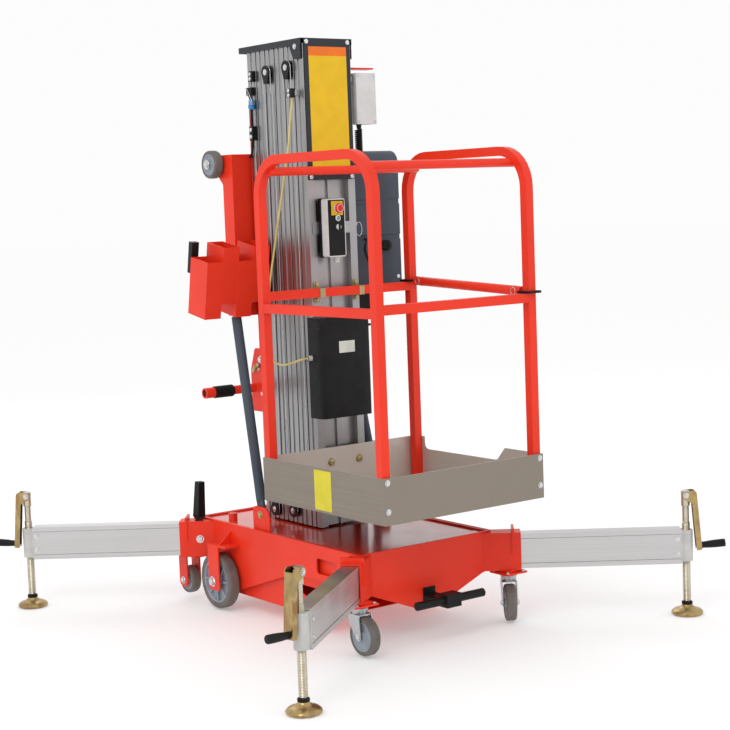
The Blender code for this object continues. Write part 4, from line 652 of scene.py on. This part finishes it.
def build_power_trim():
    front = COVER_FRONT_X
    ribbed = [(0.0, 0.0200), (0.011, 0.0200), (0.0135, 0.0185)]
    for step in range(5):
        ribbed += [(0.0190, 0.0165 - step * 0.0036), (0.0178, 0.0147 - step * 0.0036)]
    ribbed += [(0.0190, -0.0030), (0.0, -0.0030)]
    turned_piece("power_knob", ribbed, facing(KNOB_PLACE, (1, 0, 0)), "base", BLACK)
    screws = bolt_grid(front, (0.122, 0.324), (1.160, 1.540), 0.0050, 0.0022)
    bolt_piece("cover_screws", "base", STEEL, screws)
    for index, (wide, drop) in enumerate(((0.0, 0.0), (0.010, 0.016))):
        hung = smooth_points((
            (front - 0.002, 0.180 + wide, 1.300), (front + 0.018, 0.172, 1.294),
            (front + 0.028 + wide / 2, 0.160 - wide, 1.262),
            (front + 0.028 + wide / 2, 0.172, 1.232 - drop),
            (front + 0.026, 0.204, 1.238 - drop), (front + 0.022, 0.234, 1.262 - drop / 2),
            (front + 0.016, 0.248, 1.271), (front + 0.006, 0.256, 1.273),
        ), 0.004)
        lead_piece("cover_lead_" + str(index), hung, 0.0024, "base")
    loop = smooth_points((
        (-0.110, 0.175, 1.045), (-0.104, 0.160, 1.000), (-0.150, 0.145, 0.940),
        (-0.230, 0.140, 0.930), (-0.310, 0.130, 0.975), (-0.346, 0.120, 1.060),
    ), 0.008)
    lead_piece("power_lead", loop, 0.005, "base")


# Mast, its cap and its boxes
SHEAVES = (
    (2, 0.008, 0.344), (3, 0.008, 1.891), (4, 0.009, 0.353), (5, 0.000, 1.897),
)
SHEAVE_OUTER_Y = -0.116
SHEAVE_WIRE_Y = -0.110
SHEAVE_WIRE_RADIUS = 0.0230
SHEAVE_WIRE_RUN = 0.075
LIFT_WIRE_Y = -0.1040


def sheave_wire_points(along, height):
    """A wire around its sheave, with a short straight run from each side."""
    sign = 1.0 if height > 1.0 else -1.0
    around = []
    for step in range(17):
        turn = math.pi * step / 16
        rise = sign * SHEAVE_WIRE_RADIUS * math.sin(turn)
        around.append((along + SHEAVE_WIRE_RADIUS * math.cos(turn), SHEAVE_WIRE_Y, height + rise))
    end = height - sign * SHEAVE_WIRE_RUN
    return [(around[0][0], SHEAVE_WIRE_Y, end), *around, (around[-1][0], SHEAVE_WIRE_Y, end)]


def build_mast():
    def on_foot(centre):
        return centre.y > -0.124

    for index in range(1, 7):
        dress("mast_section_" + str(index), MAST_METAL, 0.0007)
    dress("top_cap", DARK_GREY, 0.0010)
    dress("sign_plate", DARK_GREY, 0.0008)
    dress("cable_anchor_1", BLACK, 0.0010)
    dress("cable_anchor_6", BLACK, 0.0010, [(MAST_METAL, on_foot)])
    for index, behind, height in SHEAVES:
        body = BODY_OF["sheave_" + str(index)]
        dress("sheave_" + str(index), BLACK, 0.0006)
        along = section_middle(index) - behind
        bolt = [((along, SHEAVE_OUTER_Y, height), (0, -1, 0), 0.0080, 0.0036)]
        bolt_piece("sheave_bolt_" + str(index), body, STEEL, bolt)
        steel_wire("sheave_wire_" + str(index), sheave_wire_points(along, height), 0.0015, body)
    for index, along, low, high in (
        (1, -0.304, 0.420, 1.868),
        (3, section_middle(3) - 0.031, 0.330, 1.820),
        (3, section_middle(3) + 0.015, 0.330, 1.820),
        (5, section_middle(5) + 0.0232, 0.420, 1.824),
    ):
        name = "lift_wire_" + str(index) + "_" + str(round(1000 * abs(along)))
        run = [(along, LIFT_WIRE_Y, low), (along, LIFT_WIRE_Y, high)]
        steel_wire(name, run, 0.0014, BODY_OF["mast_section_" + str(index)])
    for index, along, face, middle in ((1, -0.304, -0.1153, 1.8845), (6, -0.031, -0.1395, 1.8065)):
        bolts = [((along, face, middle + rise), (0, -1, 0), 0.0054, 0.0036) for rise in (-0.008, 0.008)]
        bolt_piece("anchor_bolts_" + str(index), BODY_OF["cable_anchor_" + str(index)], STEEL, bolts)
    bolt_piece("cap_bolts", "carriage", STEEL, [
        ((MAST_FRONT_X - 0.034, left * 0.108, 1.963), (0, left, 0), 0.0072, 0.0046)
        for _, left in SIDES
    ])
    walls = bmesh.new()
    for _, left in SIDES:
        low, high = sorted((left * 0.0703, left * 0.0938))
        add_block(walls, (MAST_FRONT_X - 0.0245, low, 0.450), (MAST_FRONT_X - 0.0052, high, 1.966))
    solid_piece("slot_walls", walls, "carriage", MAST_METAL, 0.0006)
    build_sign()
    build_mast_edge()
    build_control_box()
    build_document_box()
    build_electrical_box()


def build_sign():
    face = MAST_FRONT_X + 0.0043
    film_piece("sign_panel", (face - 0.001, -0.079, 1.5335), (face + 0.0004, 0.079, 1.9305), YELLOW)
    film_piece("sign_header", (face - 0.001, -0.079, 1.9305), (face + 0.0005, 0.079, 1.961), ORANGE)
    screws = bolt_grid(face, (-0.086, 0.086), (1.521, 1.9775), 0.0058, 0.0034)
    bolt_piece("sign_screws", "carriage", STEEL, screws)


def build_mast_edge():
    """The clamp, connector, lead and trim at the back of the mast's right side."""
    fixed = BODY_OF["mast_section_1"]
    strip = ((-0.3395, -0.1012, 0.700), (-0.3350, -0.0995, 1.780))
    block_piece("edge_strip", *strip, fixed, SIGNAL_RED, "red_paint", 0.0004)
    black_block("edge_clamp", (-0.334, -0.1140, 1.818), (-0.300, -0.1003, 1.847), 0.002, fixed)
    loop = smooth_points((
        (-0.330, -0.1135, 1.842), (-0.332, -0.1190, 1.846), (-0.318, -0.1215, 1.842),
        (-0.302, -0.1220, 1.822), (-0.290, -0.1210, 1.800), (-0.289, -0.1200, 1.786),
        (-0.297, -0.1200, 1.790), (-0.310, -0.1190, 1.812), (-0.322, -0.1165, 1.826),
    ), 0.003)
    steel_wire("edge_clamp_wire", loop, 0.0013, fixed)
    turned_piece("edge_connector", [
        (0.0, 0.017), (0.0085, 0.017), (0.0095, 0.014), (0.0095, 0.002), (0.0115, 0.000),
        (0.0115, -0.012), (0.0090, -0.016), (0.0, -0.016),
    ], Matrix.Translation((-0.306, -0.1118, 1.786)), fixed, SKY_BLUE, 24)
    lead = smooth_points((
        (-0.314, -0.1118, 1.819), (-0.306, -0.1122, 1.800), (-0.306, -0.1120, 1.760),
        (-0.307, -0.1120, 1.715), (-0.307, -0.1120, 1.665), (-0.309, -0.1125, 1.630),
        (-0.318, -0.1120, 1.612), (-0.334, -0.1080, 1.606), (-0.345, -0.0940, 1.604),
    ), 0.006)
    lead_piece("edge_lead", lead, 0.0040, fixed)
    black_block("edge_block", (-0.3185, -0.1180, 1.661), (-0.2965, -0.1003, 1.711), 0.0015, fixed)
    bolts = [((-0.3075, -0.1180, height), (0, -1, 0), 0.0056, 0.0040) for height in (1.674, 1.698)]
    bolt_piece("edge_bolts", fixed, STEEL, bolts)


def build_control_box():
    def on_strap(centre):
        return abs(centre.y + 0.0235) > 0.040

    front = MAST_FRONT_X + 0.0023 + 0.050
    face = front + 0.0008
    across = -0.020
    dress("control_box", WHITE, 0.0030, [(MAST_METAL, on_strap)], 3)
    back = ((MAST_FRONT_X + 0.0012, -0.0625, 1.2455), (MAST_FRONT_X + 0.019, 0.0155, 1.4475))
    black_block("control_back", *back, 0.003)
    black_block("control_face", (front - 0.004, -0.0580, 1.2510), (face, 0.0110, 1.4420), 0.002)
    plate = ((face - 0.001, across - 0.024, 1.389), (face + 0.0006, across + 0.024, 1.437))
    film_piece("stop_plate", *plate, YELLOW)
    out = (1, 0, 0)
    turned_piece("stop_button", [
        (0.0, 0.0232), (0.0090, 0.0225), (0.0142, 0.0200), (0.0168, 0.0160),
        (0.0168, 0.0130), (0.0140, 0.0105), (0.0095, 0.0095), (0.0095, -0.0010),
        (0.0, -0.0010),
    ], facing((face, across, 1.413), out), "carriage", SIGNAL_RED, 40)
    turned_piece("up_button", [
        (0.0, 0.0084), (0.0066, 0.0082), (0.0072, 0.0074), (0.0072, -0.0010),
        (0.0, -0.0010),
    ], facing((face, across, 1.379), out), "carriage", SIGNAL_GREEN, 28)
    turned_piece("up_button_ring", [
        (0.0072, 0.0060), (0.0104, 0.0056), (0.0112, 0.0040), (0.0112, -0.0010),
        (0.0072, -0.0010),
    ], facing((face, across, 1.379), out), "carriage", STEEL, 28, True)
    turned_piece("key_switch", [
        (0.0, 0.0096), (0.0086, 0.0096), (0.0104, 0.0080), (0.0112, -0.0010),
        (0.0, -0.0010),
    ], facing((face, across, 1.349), out), "carriage", STEEL, 28)
    grip = ((face + 0.008, across - 0.0032, 1.339), (face + 0.0155, across + 0.0032, 1.359))
    black_block("switch_grip", *grip, 0.0015)
    outlet = (MAST_FRONT_X + 0.0253, -0.010, 1.2470)
    gland_nut("control_gland", outlet, (0, 0, -1), 0.0118, WHITE)
    ring = []
    for step in range(28):
        turn = math.tau * step / 28
        ring.append((0.0030, 0.1110 + 0.0130 * math.sin(turn), 1.3370 + 0.0240 * math.cos(turn)))
    steel_wire("key_ring", ring, 0.0012, "carriage", True)
    eye = ((-0.004, 0.0985, 1.351), (0.0052, 0.1035, 1.361))
    block_piece("key_ring_eye", *eye, "carriage", MAST_METAL, "aluminium", 0.0008)


def gland_nut(name, place, direction, radius, look):
    """A cable gland: a hexagon against the housing and a domed nut."""
    shape = bmesh.new()
    matrix = facing(place, direction)
    add_turned(shape, [
        (0.0, 0.0060), (radius, 0.0060), (radius, -0.0010), (0.0, -0.0010),
    ], matrix, 6)
    add_turned(shape, [
        (0.0, 0.0190), (radius * 0.55, 0.0190), (radius * 0.78, 0.0160),
        (radius * 0.86, 0.0110), (radius * 0.86, 0.0040), (0.0, 0.0040),
    ], matrix, 24)
    solid_piece(name, shape, "carriage", look, 0.0006)


def build_document_box():
    rear = MAST_FRONT_X + 0.0003
    front = rear + 0.076
    dress("document_box", BLACK, 0.0060, segments=4)
    lid = ((rear + 0.004, -0.1268, 1.004), (front + 0.0007, 0.0888, 1.012))
    black_block("document_lid", *lid, 0.0015)
    label = ((front - 0.001, -0.050, 0.920), (front + 0.0004, 0.016, 0.960))
    film_piece("document_label", *label, PALE_FILM)
    panel = ((front - 0.001, -0.088, 0.740), (front + 0.0004, 0.054, 0.880))
    black_block("document_panel", *panel, 0.0004)
    outlet = (rear + 0.018, -0.126, 0.906)
    gland_nut("document_gland", outlet, (0, -1, 0), 0.0100, WHITE)


# Curly lead under the electrical box
COIL_TURNS = 12
COIL_STEPS = 16
COIL_RADIUS = 0.0115
COIL_TOP_Z = 1.683
COIL_DROP = 0.079


def build_electrical_box():
    """The box as the photograph shows it, with its lid, hanger, gland and curly lead."""
    rear = section_middle(6) - SECTION_DEPTH / 2
    front = rear + 0.055
    side = MAST_HALF + 0.0003
    outer = 0.2025
    body = bmesh.new()
    add_block(body, (rear + 0.001, 0.1200, 1.700), (front - 0.0120, outer, 1.875))
    add_block(body, (front - 0.0125, 0.1215, 1.7015), (front - 0.0105, outer - 0.0015, 1.8735))
    add_block(body, (front - 0.0110, 0.1195, 1.6995), (front, outer + 0.0005, 1.8755))
    box = solid_piece("electrical_body", body, "carriage", WHITE, 0.0020, 3)
    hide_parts("electrical_box")
    hanger = bmesh.new()
    add_block(hanger, (rear + 0.006, side, 1.720), (rear + 0.044, side + 0.003, 1.893))
    add_block(hanger, (rear + 0.010, side + 0.001, 1.845), (rear + 0.040, 0.1205, 1.865))
    solid_piece("electrical_bracket", hanger, "carriage", MAST_METAL, 0.0005)
    screws = bolt_grid(front, (0.127, outer - 0.007), (1.708, 1.867), 0.0042, 0.0012)
    bolt_piece("electrical_screws", "carriage", GREY_ZINC, screws)
    strip = ((rear + 0.004, side, 1.8885), (rear + 0.046, 0.2030, 1.8940))
    block_piece("electrical_hanger", *strip, "carriage", SIGNAL_RED, "red_paint", 0.0010)
    lead_x = rear + 0.028
    outlet = (lead_x, 0.1445, 1.7010)
    gland_nut("electrical_gland", outlet, (0, 0, -1), 0.0100, BLACK)
    entry = [(lead_x, 0.1438, 1.6975), (lead_x, 0.1446, 1.6900), (lead_x, 0.1470, 1.6850)]
    coil = []
    for step in range(COIL_TURNS * COIL_STEPS + 1):
        turn = math.tau * step / COIL_STEPS
        coil.append((
            lead_x - COIL_RADIUS + COIL_RADIUS * math.cos(turn),
            0.150 + COIL_RADIUS * math.sin(turn),
            COIL_TOP_Z - COIL_DROP * step / (COIL_TURNS * COIL_STEPS),
        ))
    tail = smooth_points((
        coil[-1],
        (lead_x - 0.0030, 0.1585, 1.6025), (lead_x - 0.0115, 0.1640, 1.5960),
        (lead_x - 0.0190, 0.1610, 1.5820), (lead_x - 0.0200, 0.1480, 1.5640),
        (lead_x - 0.0160, 0.1300, 1.5440), (lead_x - 0.0100, 0.1120, 1.5200),
        (lead_x - 0.0080, 0.1040, 1.4800), (lead_x - 0.0080, 0.1040, 1.3000),
    ), 0.004)
    lead_piece("curly_lead", entry + coil + tail[1:], 0.0026, "carriage")


# Platform
TRAY_FRONT_X = 0.677
TRAY_HALF = 0.330
POST_Y = 0.3117
RAIL_REAR_X = 0.0295
RAIL_FRONT_X = 0.652
REAR_RAIL_Z = 1.128
FRONT_RAIL_Z = 1.100
TRAY_INSET = 0.0026
TRAY_FLOOR_Z = 0.442
CLAMP_Y = 0.083
BAND_REACH = 0.0153
BAND_HALF = 0.0105
BAND_OUT = 0.0015
BAND_IN = 0.0006
GATE_RISE = 0.0193


def build_platform():
    def on_inside(centre):
        along = MAST_FRONT_X + TRAY_INSET < centre.x < TRAY_FRONT_X - TRAY_INSET
        return along and abs(centre.y) < TRAY_HALF - TRAY_INSET and centre.z > TRAY_FLOOR_Z

    dress("platform_tray", SHEET_METAL, 0.0008, [(TRAY_INSIDE, on_inside)])
    dress("guard_rail", RED, 0.0035, segments=3)
    bolts = bolt_grid(TRAY_FRONT_X, (-0.315, 0.315), (0.573, 0.483), 0.0076, 0.0046)
    bolt_piece("tray_bolts", "carriage", STEEL, bolts)
    bolts = bolt_grid(MAST_FRONT_X + 0.0033, (-0.050, 0.070), (0.535,), 0.0108, 0.0078)
    bolt_piece("tray_rear_bolts", "carriage", GOLD_ZINC, bolts)
    side = -TRAY_HALF - 0.0004
    film_piece("tray_sticker", (0.305, side, 0.448), (0.398, side + 0.001, 0.578), LIME)
    build_rail_trim()
    build_gate()


def build_rail_trim():
    """A flat band around the rail at each clamp, with its neck, saddle plate and two nuts."""
    rear = MAST_FRONT_X + 0.0003
    for name, left in SIDES:
        across = left * CLAMP_Y
        low = (RAIL_REAR_X - BAND_REACH, across - BAND_HALF, REAR_RAIL_Z - BAND_REACH)
        high = (RAIL_REAR_X + BAND_REACH, across + BAND_HALF, REAR_RAIL_Z + BAND_REACH)
        saddle = (
            (rear, across - 0.011, REAR_RAIL_Z - 0.0345),
            (rear + 0.004, across + 0.011, REAR_RAIL_Z + 0.0345),
        )
        neck = (
            (rear + 0.003, across - 0.009, REAR_RAIL_Z - 0.012),
            (low[0] + 0.0008, across + 0.009, REAR_RAIL_Z + 0.012),
        )
        outer = (high[0] + BAND_OUT, high[1], high[2] + BAND_OUT)
        front = ((high[0] - BAND_IN, low[1], low[2]), outer)
        top = ((low[0], low[1], high[2] - BAND_IN), outer)
        bottom = ((low[0], low[1], low[2] - BAND_OUT), (high[0] + BAND_OUT, high[1], low[2] + BAND_IN))
        shape = bmesh.new()
        for corners in (saddle, neck, front, top, bottom):
            add_block(shape, *corners)
        band = solid_piece("rail_band_" + name, shape, "carriage", GOLD_ZINC, 0.0005)
        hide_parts("rail_clamp_" + name)
        heights = (REAR_RAIL_Z - 0.0258, REAR_RAIL_Z + 0.0258)
        nuts = bolt_grid(MAST_FRONT_X + 0.0043, (across,), heights, 0.0078, 0.0070)
        bolt_piece("rail_nuts_" + name, "carriage", GOLD_ZINC, nuts)


def build_gate():
    rear = Vector((RAIL_REAR_X, POST_Y, REAR_RAIL_Z + GATE_RISE))
    front = Vector((RAIL_FRONT_X, POST_Y, FRONT_RAIL_Z + GATE_RISE))

    def on_loop(centre):
        return min(abs(centre.x - rear.x), abs(centre.x - front.x)) < 0.0285

    dress("gate_bar", RED, 0.0016, [(RUBBER, on_loop)], 3)
    direction = (front - rear).normalized()
    for name, place, sign in (("rear", rear, 1), ("front", front, -1)):
        along = direction * sign
        cone = place + along * 0.034
        turned_piece("gate_cone_" + name, [
            (0.0, 0.040), (0.0162, 0.040), (0.0162, 0.030), (0.0100, 0.004), (0.0070, 0.0),
            (0.0, 0.0),
        ], facing(cone, along), "gate", RED, 28)
        ring = []
        middle = place + along * 0.060 + Vector((0.0, -0.0175, 0.0))
        for step in range(20):
            turn = math.tau * step / 20
            ring.append(middle + Vector((0.011 * math.cos(turn), 0.0, 0.011 * math.sin(turn))))
        steel_wire("gate_ring_" + name, ring, 0.0010, "gate", True)


# Outriggers
SCREW_RADIUS = 0.014
THREAD_PITCH = 0.0044
THREAD_DEPTH = 0.0013
CRANK_LENGTH = 0.190
CRANK_PIVOT_Z = 0.410
CRANK_LEAN = math.radians(4.5)
CRANK_TURNS = {"front_right": -28.0, "front_left": 0.0, "rear_right": 0.0, "rear_left": -28.0}
BEAM_END_X = -0.0195
# Heights and half width of the beams' recessed chamfers that carry painted shade, and where the painted
# shade stops
SHADED_RECESS_HEIGHTS = (0.19675, 0.28125)
SHADED_RECESS_HALF = 0.0014
SHADED_RECESS_END_X = -0.10
JACK_FOOT_Z = 0.046


def jack_profile():
    profile = [
        (0.0, 0.4240), (0.0135, 0.4240), (0.0145, 0.4230), (0.0145, 0.3740),
        (0.0112, 0.3720), (0.0112, 0.3180), (SCREW_RADIUS, 0.3160),
    ]
    height = 0.314
    while height > 0.050:
        profile.append((SCREW_RADIUS, height))
        profile.append((SCREW_RADIUS - THREAD_DEPTH, height - THREAD_PITCH / 2))
        height -= THREAD_PITCH
    profile += [
        (0.0125, 0.0450), (0.0125, 0.0362), (0.0165, 0.0360), (0.0195, 0.0315),
        (0.0240, 0.0270), (0.0330, 0.0228), (0.0440, 0.0195), (0.0500, 0.0150),
        (0.0535, 0.0105), (0.0532, 0.0070), (0.0520, 0.0040), (0.0460, 0.0), (0.0, 0.0),
    ]
    return profile


def build_beam(name, place, turn):
    """The beam with painted shade on its two recessed chamfer lines, its cast end and the end's bolts."""
    inward = place.inverted()

    def at_end(centre):
        return (inward @ centre).x > BEAM_END_X

    # Chamfer faces that are darkened with painted shade
    def on_line(centre):
        near = min(abs(centre.z - height) for height in SHADED_RECESS_HEIGHTS) < SHADED_RECESS_HALF
        return near and (inward @ centre).x < SHADED_RECESS_END_X

    beam = beam_metal("beam_aluminium_" + name, -turn)
    dress("outrigger_" + name, beam, 0.0007, [(CAST_METAL, at_end), (BEAM_RECESS_SHADE, on_line)])
    bolts = []
    for rise in (-0.026, 0.026):
        bolts += bolt_pair(place, -0.033, 0.026, BEAM_MIDDLE_Z + rise, 0.0074, 0.0056)
    bolt_piece("beam_bolts_" + name, BODY_OF["outrigger_" + name], STEEL, bolts)


def build_jack(name, place):
    """The threaded screw with its brown pad, and the ring at its neck."""
    shape = bmesh.new()
    add_turned(shape, jack_profile(), place)
    for face in shape.faces:
        face.material_index = 0 if face.calc_center_median().z > JACK_FOOT_Z else 1
    bmesh.ops.recalc_face_normals(shape, faces=shape.faces)
    thread = "jack_thread_" + name
    body = BODY_OF["jack_screw_" + name]
    jack = new_piece(thread, mesh_from(shape, thread), body, [PALE_ZINC, BROWN_ZINC])
    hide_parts("jack_screw_" + name)
    turned_piece("jack_ring_" + name, [
        (0.0118, 0.0452), (0.0172, 0.0452), (0.0184, 0.0440), (0.0184, 0.0372),
        (0.0172, 0.0360), (0.0118, 0.0360),
    ], place, body, RUBBER, 32, True)


def build_crank(name, place):
    """The crank, turned and leaned as its solid is, with its grip and pins."""
    pivot = place @ Matrix.Translation((0.0, 0.0, CRANK_PIVOT_Z))
    pivot = pivot @ Matrix.Rotation(math.radians(CRANK_TURNS[name]), 4, "Z")
    pivot = pivot @ Matrix.Rotation(-CRANK_LEAN, 4, "Y")
    back = pivot.inverted()
    body = BODY_OF["crank_" + name]

    def on_grip(centre):
        return (back @ centre).x > 0.0385

    dress("crank_" + name, BROWN_ZINC, 0.0010, [(BLACK, on_grip)])
    start = pivot @ Vector((0.036, 0.0, -CRANK_LENGTH + 0.0132))
    outward = pivot.to_3x3() @ Vector((1.0, 0.0, 0.0))
    turned_piece("crank_grip_" + name, [
        (0.0, 0.0812), (0.0085, 0.0810), (0.0120, 0.0790), (0.0134, 0.0750),
        (0.0134, 0.0560), (0.0124, 0.0300), (0.0106, 0.0080), (0.0112, 0.0050),
        (0.0112, 0.0012), (0.0, 0.0012),
    ], facing(start, outward), body, BLACK, 32)
    bolt_piece("crank_pins_" + name, body, STEEL, bolt_pair(pivot, 0.0, 0.018, 0.0, 0.0076, 0.0054))


def build_outriggers():
    for name, forward, left in CORNERS:
        place = corner_frame(forward, left)
        build_beam(name, place, corner_turn(forward, left))
        build_jack(name, place)
        build_crank(name, place)


# Wheels and grips
HANDLE_X = -0.376
HANDLE_Z = 0.775


def build_wheel(node, centre, heading, form):
    """A moulded rim with ribs between two rings, and a rounded tread with grooves."""
    radius, width, tread, hub, bore, ribs = form
    body = BODY_OF[node]
    place = Matrix.Translation(centre) @ Matrix.Rotation(heading, 4, "Z")
    axis = place @ Matrix.Rotation(math.pi / 2, 4, "X")
    half = width / 2
    rim = radius - tread
    web = half * 0.30 if ribs else half * 0.62
    shape = bmesh.new()
    add_turned(shape, mirrored([
        (bore, half), (hub - 0.0015, half), (hub, half - 0.0015), (hub + 0.0030, web),
        (rim - 0.0075, web), (rim - 0.0045, half - 0.0030), (rim, half - 0.0020),
    ]), axis, 64, True)
    for index in range(ribs):
        spun = axis @ Matrix.Rotation(math.tau * index / ribs, 4, "Z")
        add_block(shape, (hub - 0.002, -0.0032, -half * 0.74), (rim - 0.004, 0.0032, half * 0.74), spun)
    solid_piece(node + "_rim", shape, body, RIM, 0.0010)
    crown = mirrored([
        (rim - 0.0002, half - 0.0024), (rim + 0.0030, half - 0.0004),
        (radius - 0.0065, half), (radius - 0.0025, half - 0.0022),
        (radius - 0.0006, half - 0.0060), (radius, half * 0.42),
        (radius, half * 0.10 + 0.0006), (radius - 0.0008, half * 0.10),
    ])
    tyre = turned_piece(node + "_tread", crown, axis, body, TREAD, 72, True)
    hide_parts(node)


def build_handle_grip(side, left):
    """A ribbed sleeve short of the end, past which the open red tube shows."""
    axis = facing((HANDLE_X, 0.0, HANDLE_Z), (0, left, 0))
    ribbed = [(0.0165, 0.2010), (0.0200, 0.2010)]
    for step in range(10):
        height = 0.2040 + step * 0.0072
        ribbed += [(0.0215, height), (0.0215, height + 0.0040)]
        ribbed += [(0.0203, height + 0.0052), (0.0203, height + 0.0066)]
    ribbed += [(0.0215, 0.2770), (0.0205, 0.2800), (0.0165, 0.2800)]
    body = BODY_OF["handle_grip_" + side]
    grip = turned_piece("grip_sleeve_" + side, ribbed, axis, body, RUBBER, 40, True)
    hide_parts("handle_grip_" + side)
    turned_piece("grip_end_" + side, [
        (0.0135, 0.3178), (0.0180, 0.3178), (0.0190, 0.3165), (0.0190, 0.2790),
        (0.0160, 0.2790), (0.0135, 0.2960),
    ], axis, body, RED, 40, True)
    turned_piece("grip_plug_" + side, [
        (0.0, 0.3142), (0.0137, 0.3142), (0.0137, 0.3000), (0.0, 0.3000),
    ], axis, body, BLACK, 32)


def build_caster(side, left):
    heading = math.radians(CASTER_TURNS[side])
    place = Matrix.Translation((CASTER_X, left * CASTER_Y, 0.0)) @ Matrix.Rotation(heading, 4, "Z")
    centre = place @ Vector((CASTER_TRAIL, 0.0, CASTER_AXLE_Z))
    build_wheel("caster_wheel_" + side, centre, heading, CASTER_FORM)
    fork = BODY_OF["caster_fork_" + side]
    axle = bolt_pair(place, CASTER_TRAIL, 0.0260, CASTER_AXLE_Z, 0.0084, 0.0056)
    bolt_piece("caster_axle_" + side, fork, STEEL, axle)
    shape = bmesh.new()
    add_turned(shape, [
        (0.0, 0.1628), (0.0312, 0.1628), (0.0316, 0.1600), (0.0290, 0.1560), (0.0, 0.1560),
    ], place, 40)
    solid_piece("caster_race_" + side, shape, fork, GOLD_ZINC, 0.0005)


def build_wheels():
    for side, left in SIDES:
        build_wheel("big_wheel_" + side, (BIG_X, left * WHEEL_Y, BIG_Z), 0.0, BIG_FORM)
        build_wheel("tip_wheel_" + side, (TIP_X, left * WHEEL_Y, TIP_Z), 0.0, SMALL_FORM)
        low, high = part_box("loading_wheel_" + side)
        centre = (Vector(low) + Vector(high)) / 2
        build_wheel("loading_wheel_" + side, centre, 0.0, SMALL_FORM)
        dress("caster_fork_" + side, GREY_ZINC, 0.0008)
        build_handle_grip(side, left)
    for side, left in SIDES:
        build_caster(side, left)


# Studio. A lamp is its name, place, size and watts
FLOOR_RADIUS = 60.0
FLOOR_GLOW = 0.25
WORLD_STRENGTH = 0.98
LAMP_AIM = (0.0, 0.0, 0.9)
LAMPS = (
    ("key", (2.6, -4.2, 4.6), 3.0, 70.0),
    ("fill", (5.5, 2.8, 2.8), 3.5, 15.0),
    ("back", (-4.5, 1.5, 4.2), 3.0, 35.0),
)


def build_studio():
    shape = bmesh.new()
    bmesh.ops.create_circle(shape, cap_ends=True, radius=FLOOR_RADIUS, segments=96)
    floor = bpy.data.objects.new("floor", mesh_from(shape, "floor"))
    SCENE.collection.objects.link(floor)
    pale = new_look("floor", (0.74, 0.74, 0.74), 0.90)
    shader = pale.node_tree.nodes["Principled BSDF"]
    shader.inputs["Specular IOR Level"].default_value = 0.0
    shader.inputs["Emission Color"].default_value = (1.0, 1.0, 1.0, 1.0)
    shader.inputs["Emission Strength"].default_value = FLOOR_GLOW
    floor.data.materials.append(pale)

    world = bpy.data.worlds.new("studio")
    SCENE.world = world
    world.use_nodes = True
    background = world.node_tree.nodes["Background"]
    background.inputs["Color"].default_value = (1.0, 1.0, 1.0, 1.0)
    background.inputs["Strength"].default_value = WORLD_STRENGTH

    for name, place, size, watts in LAMPS:
        data = bpy.data.lights.new(name, "AREA")
        data.shape = "DISK"
        data.size = size
        data.energy = watts
        lamp = bpy.data.objects.new(name, data)
        SCENE.collection.objects.link(lamp)
        aim = (Vector(LAMP_AIM) - Vector(place)).to_track_quat("-Z", "Y")
        lamp.matrix_world = Matrix.Translation(place) @ aim.to_matrix().to_4x4()
    SCENE.view_settings.view_transform = "Standard"


build_camera()
build_cable()
build_chassis()
build_mast()
build_platform()
build_outriggers()
build_wheels()
build_studio()
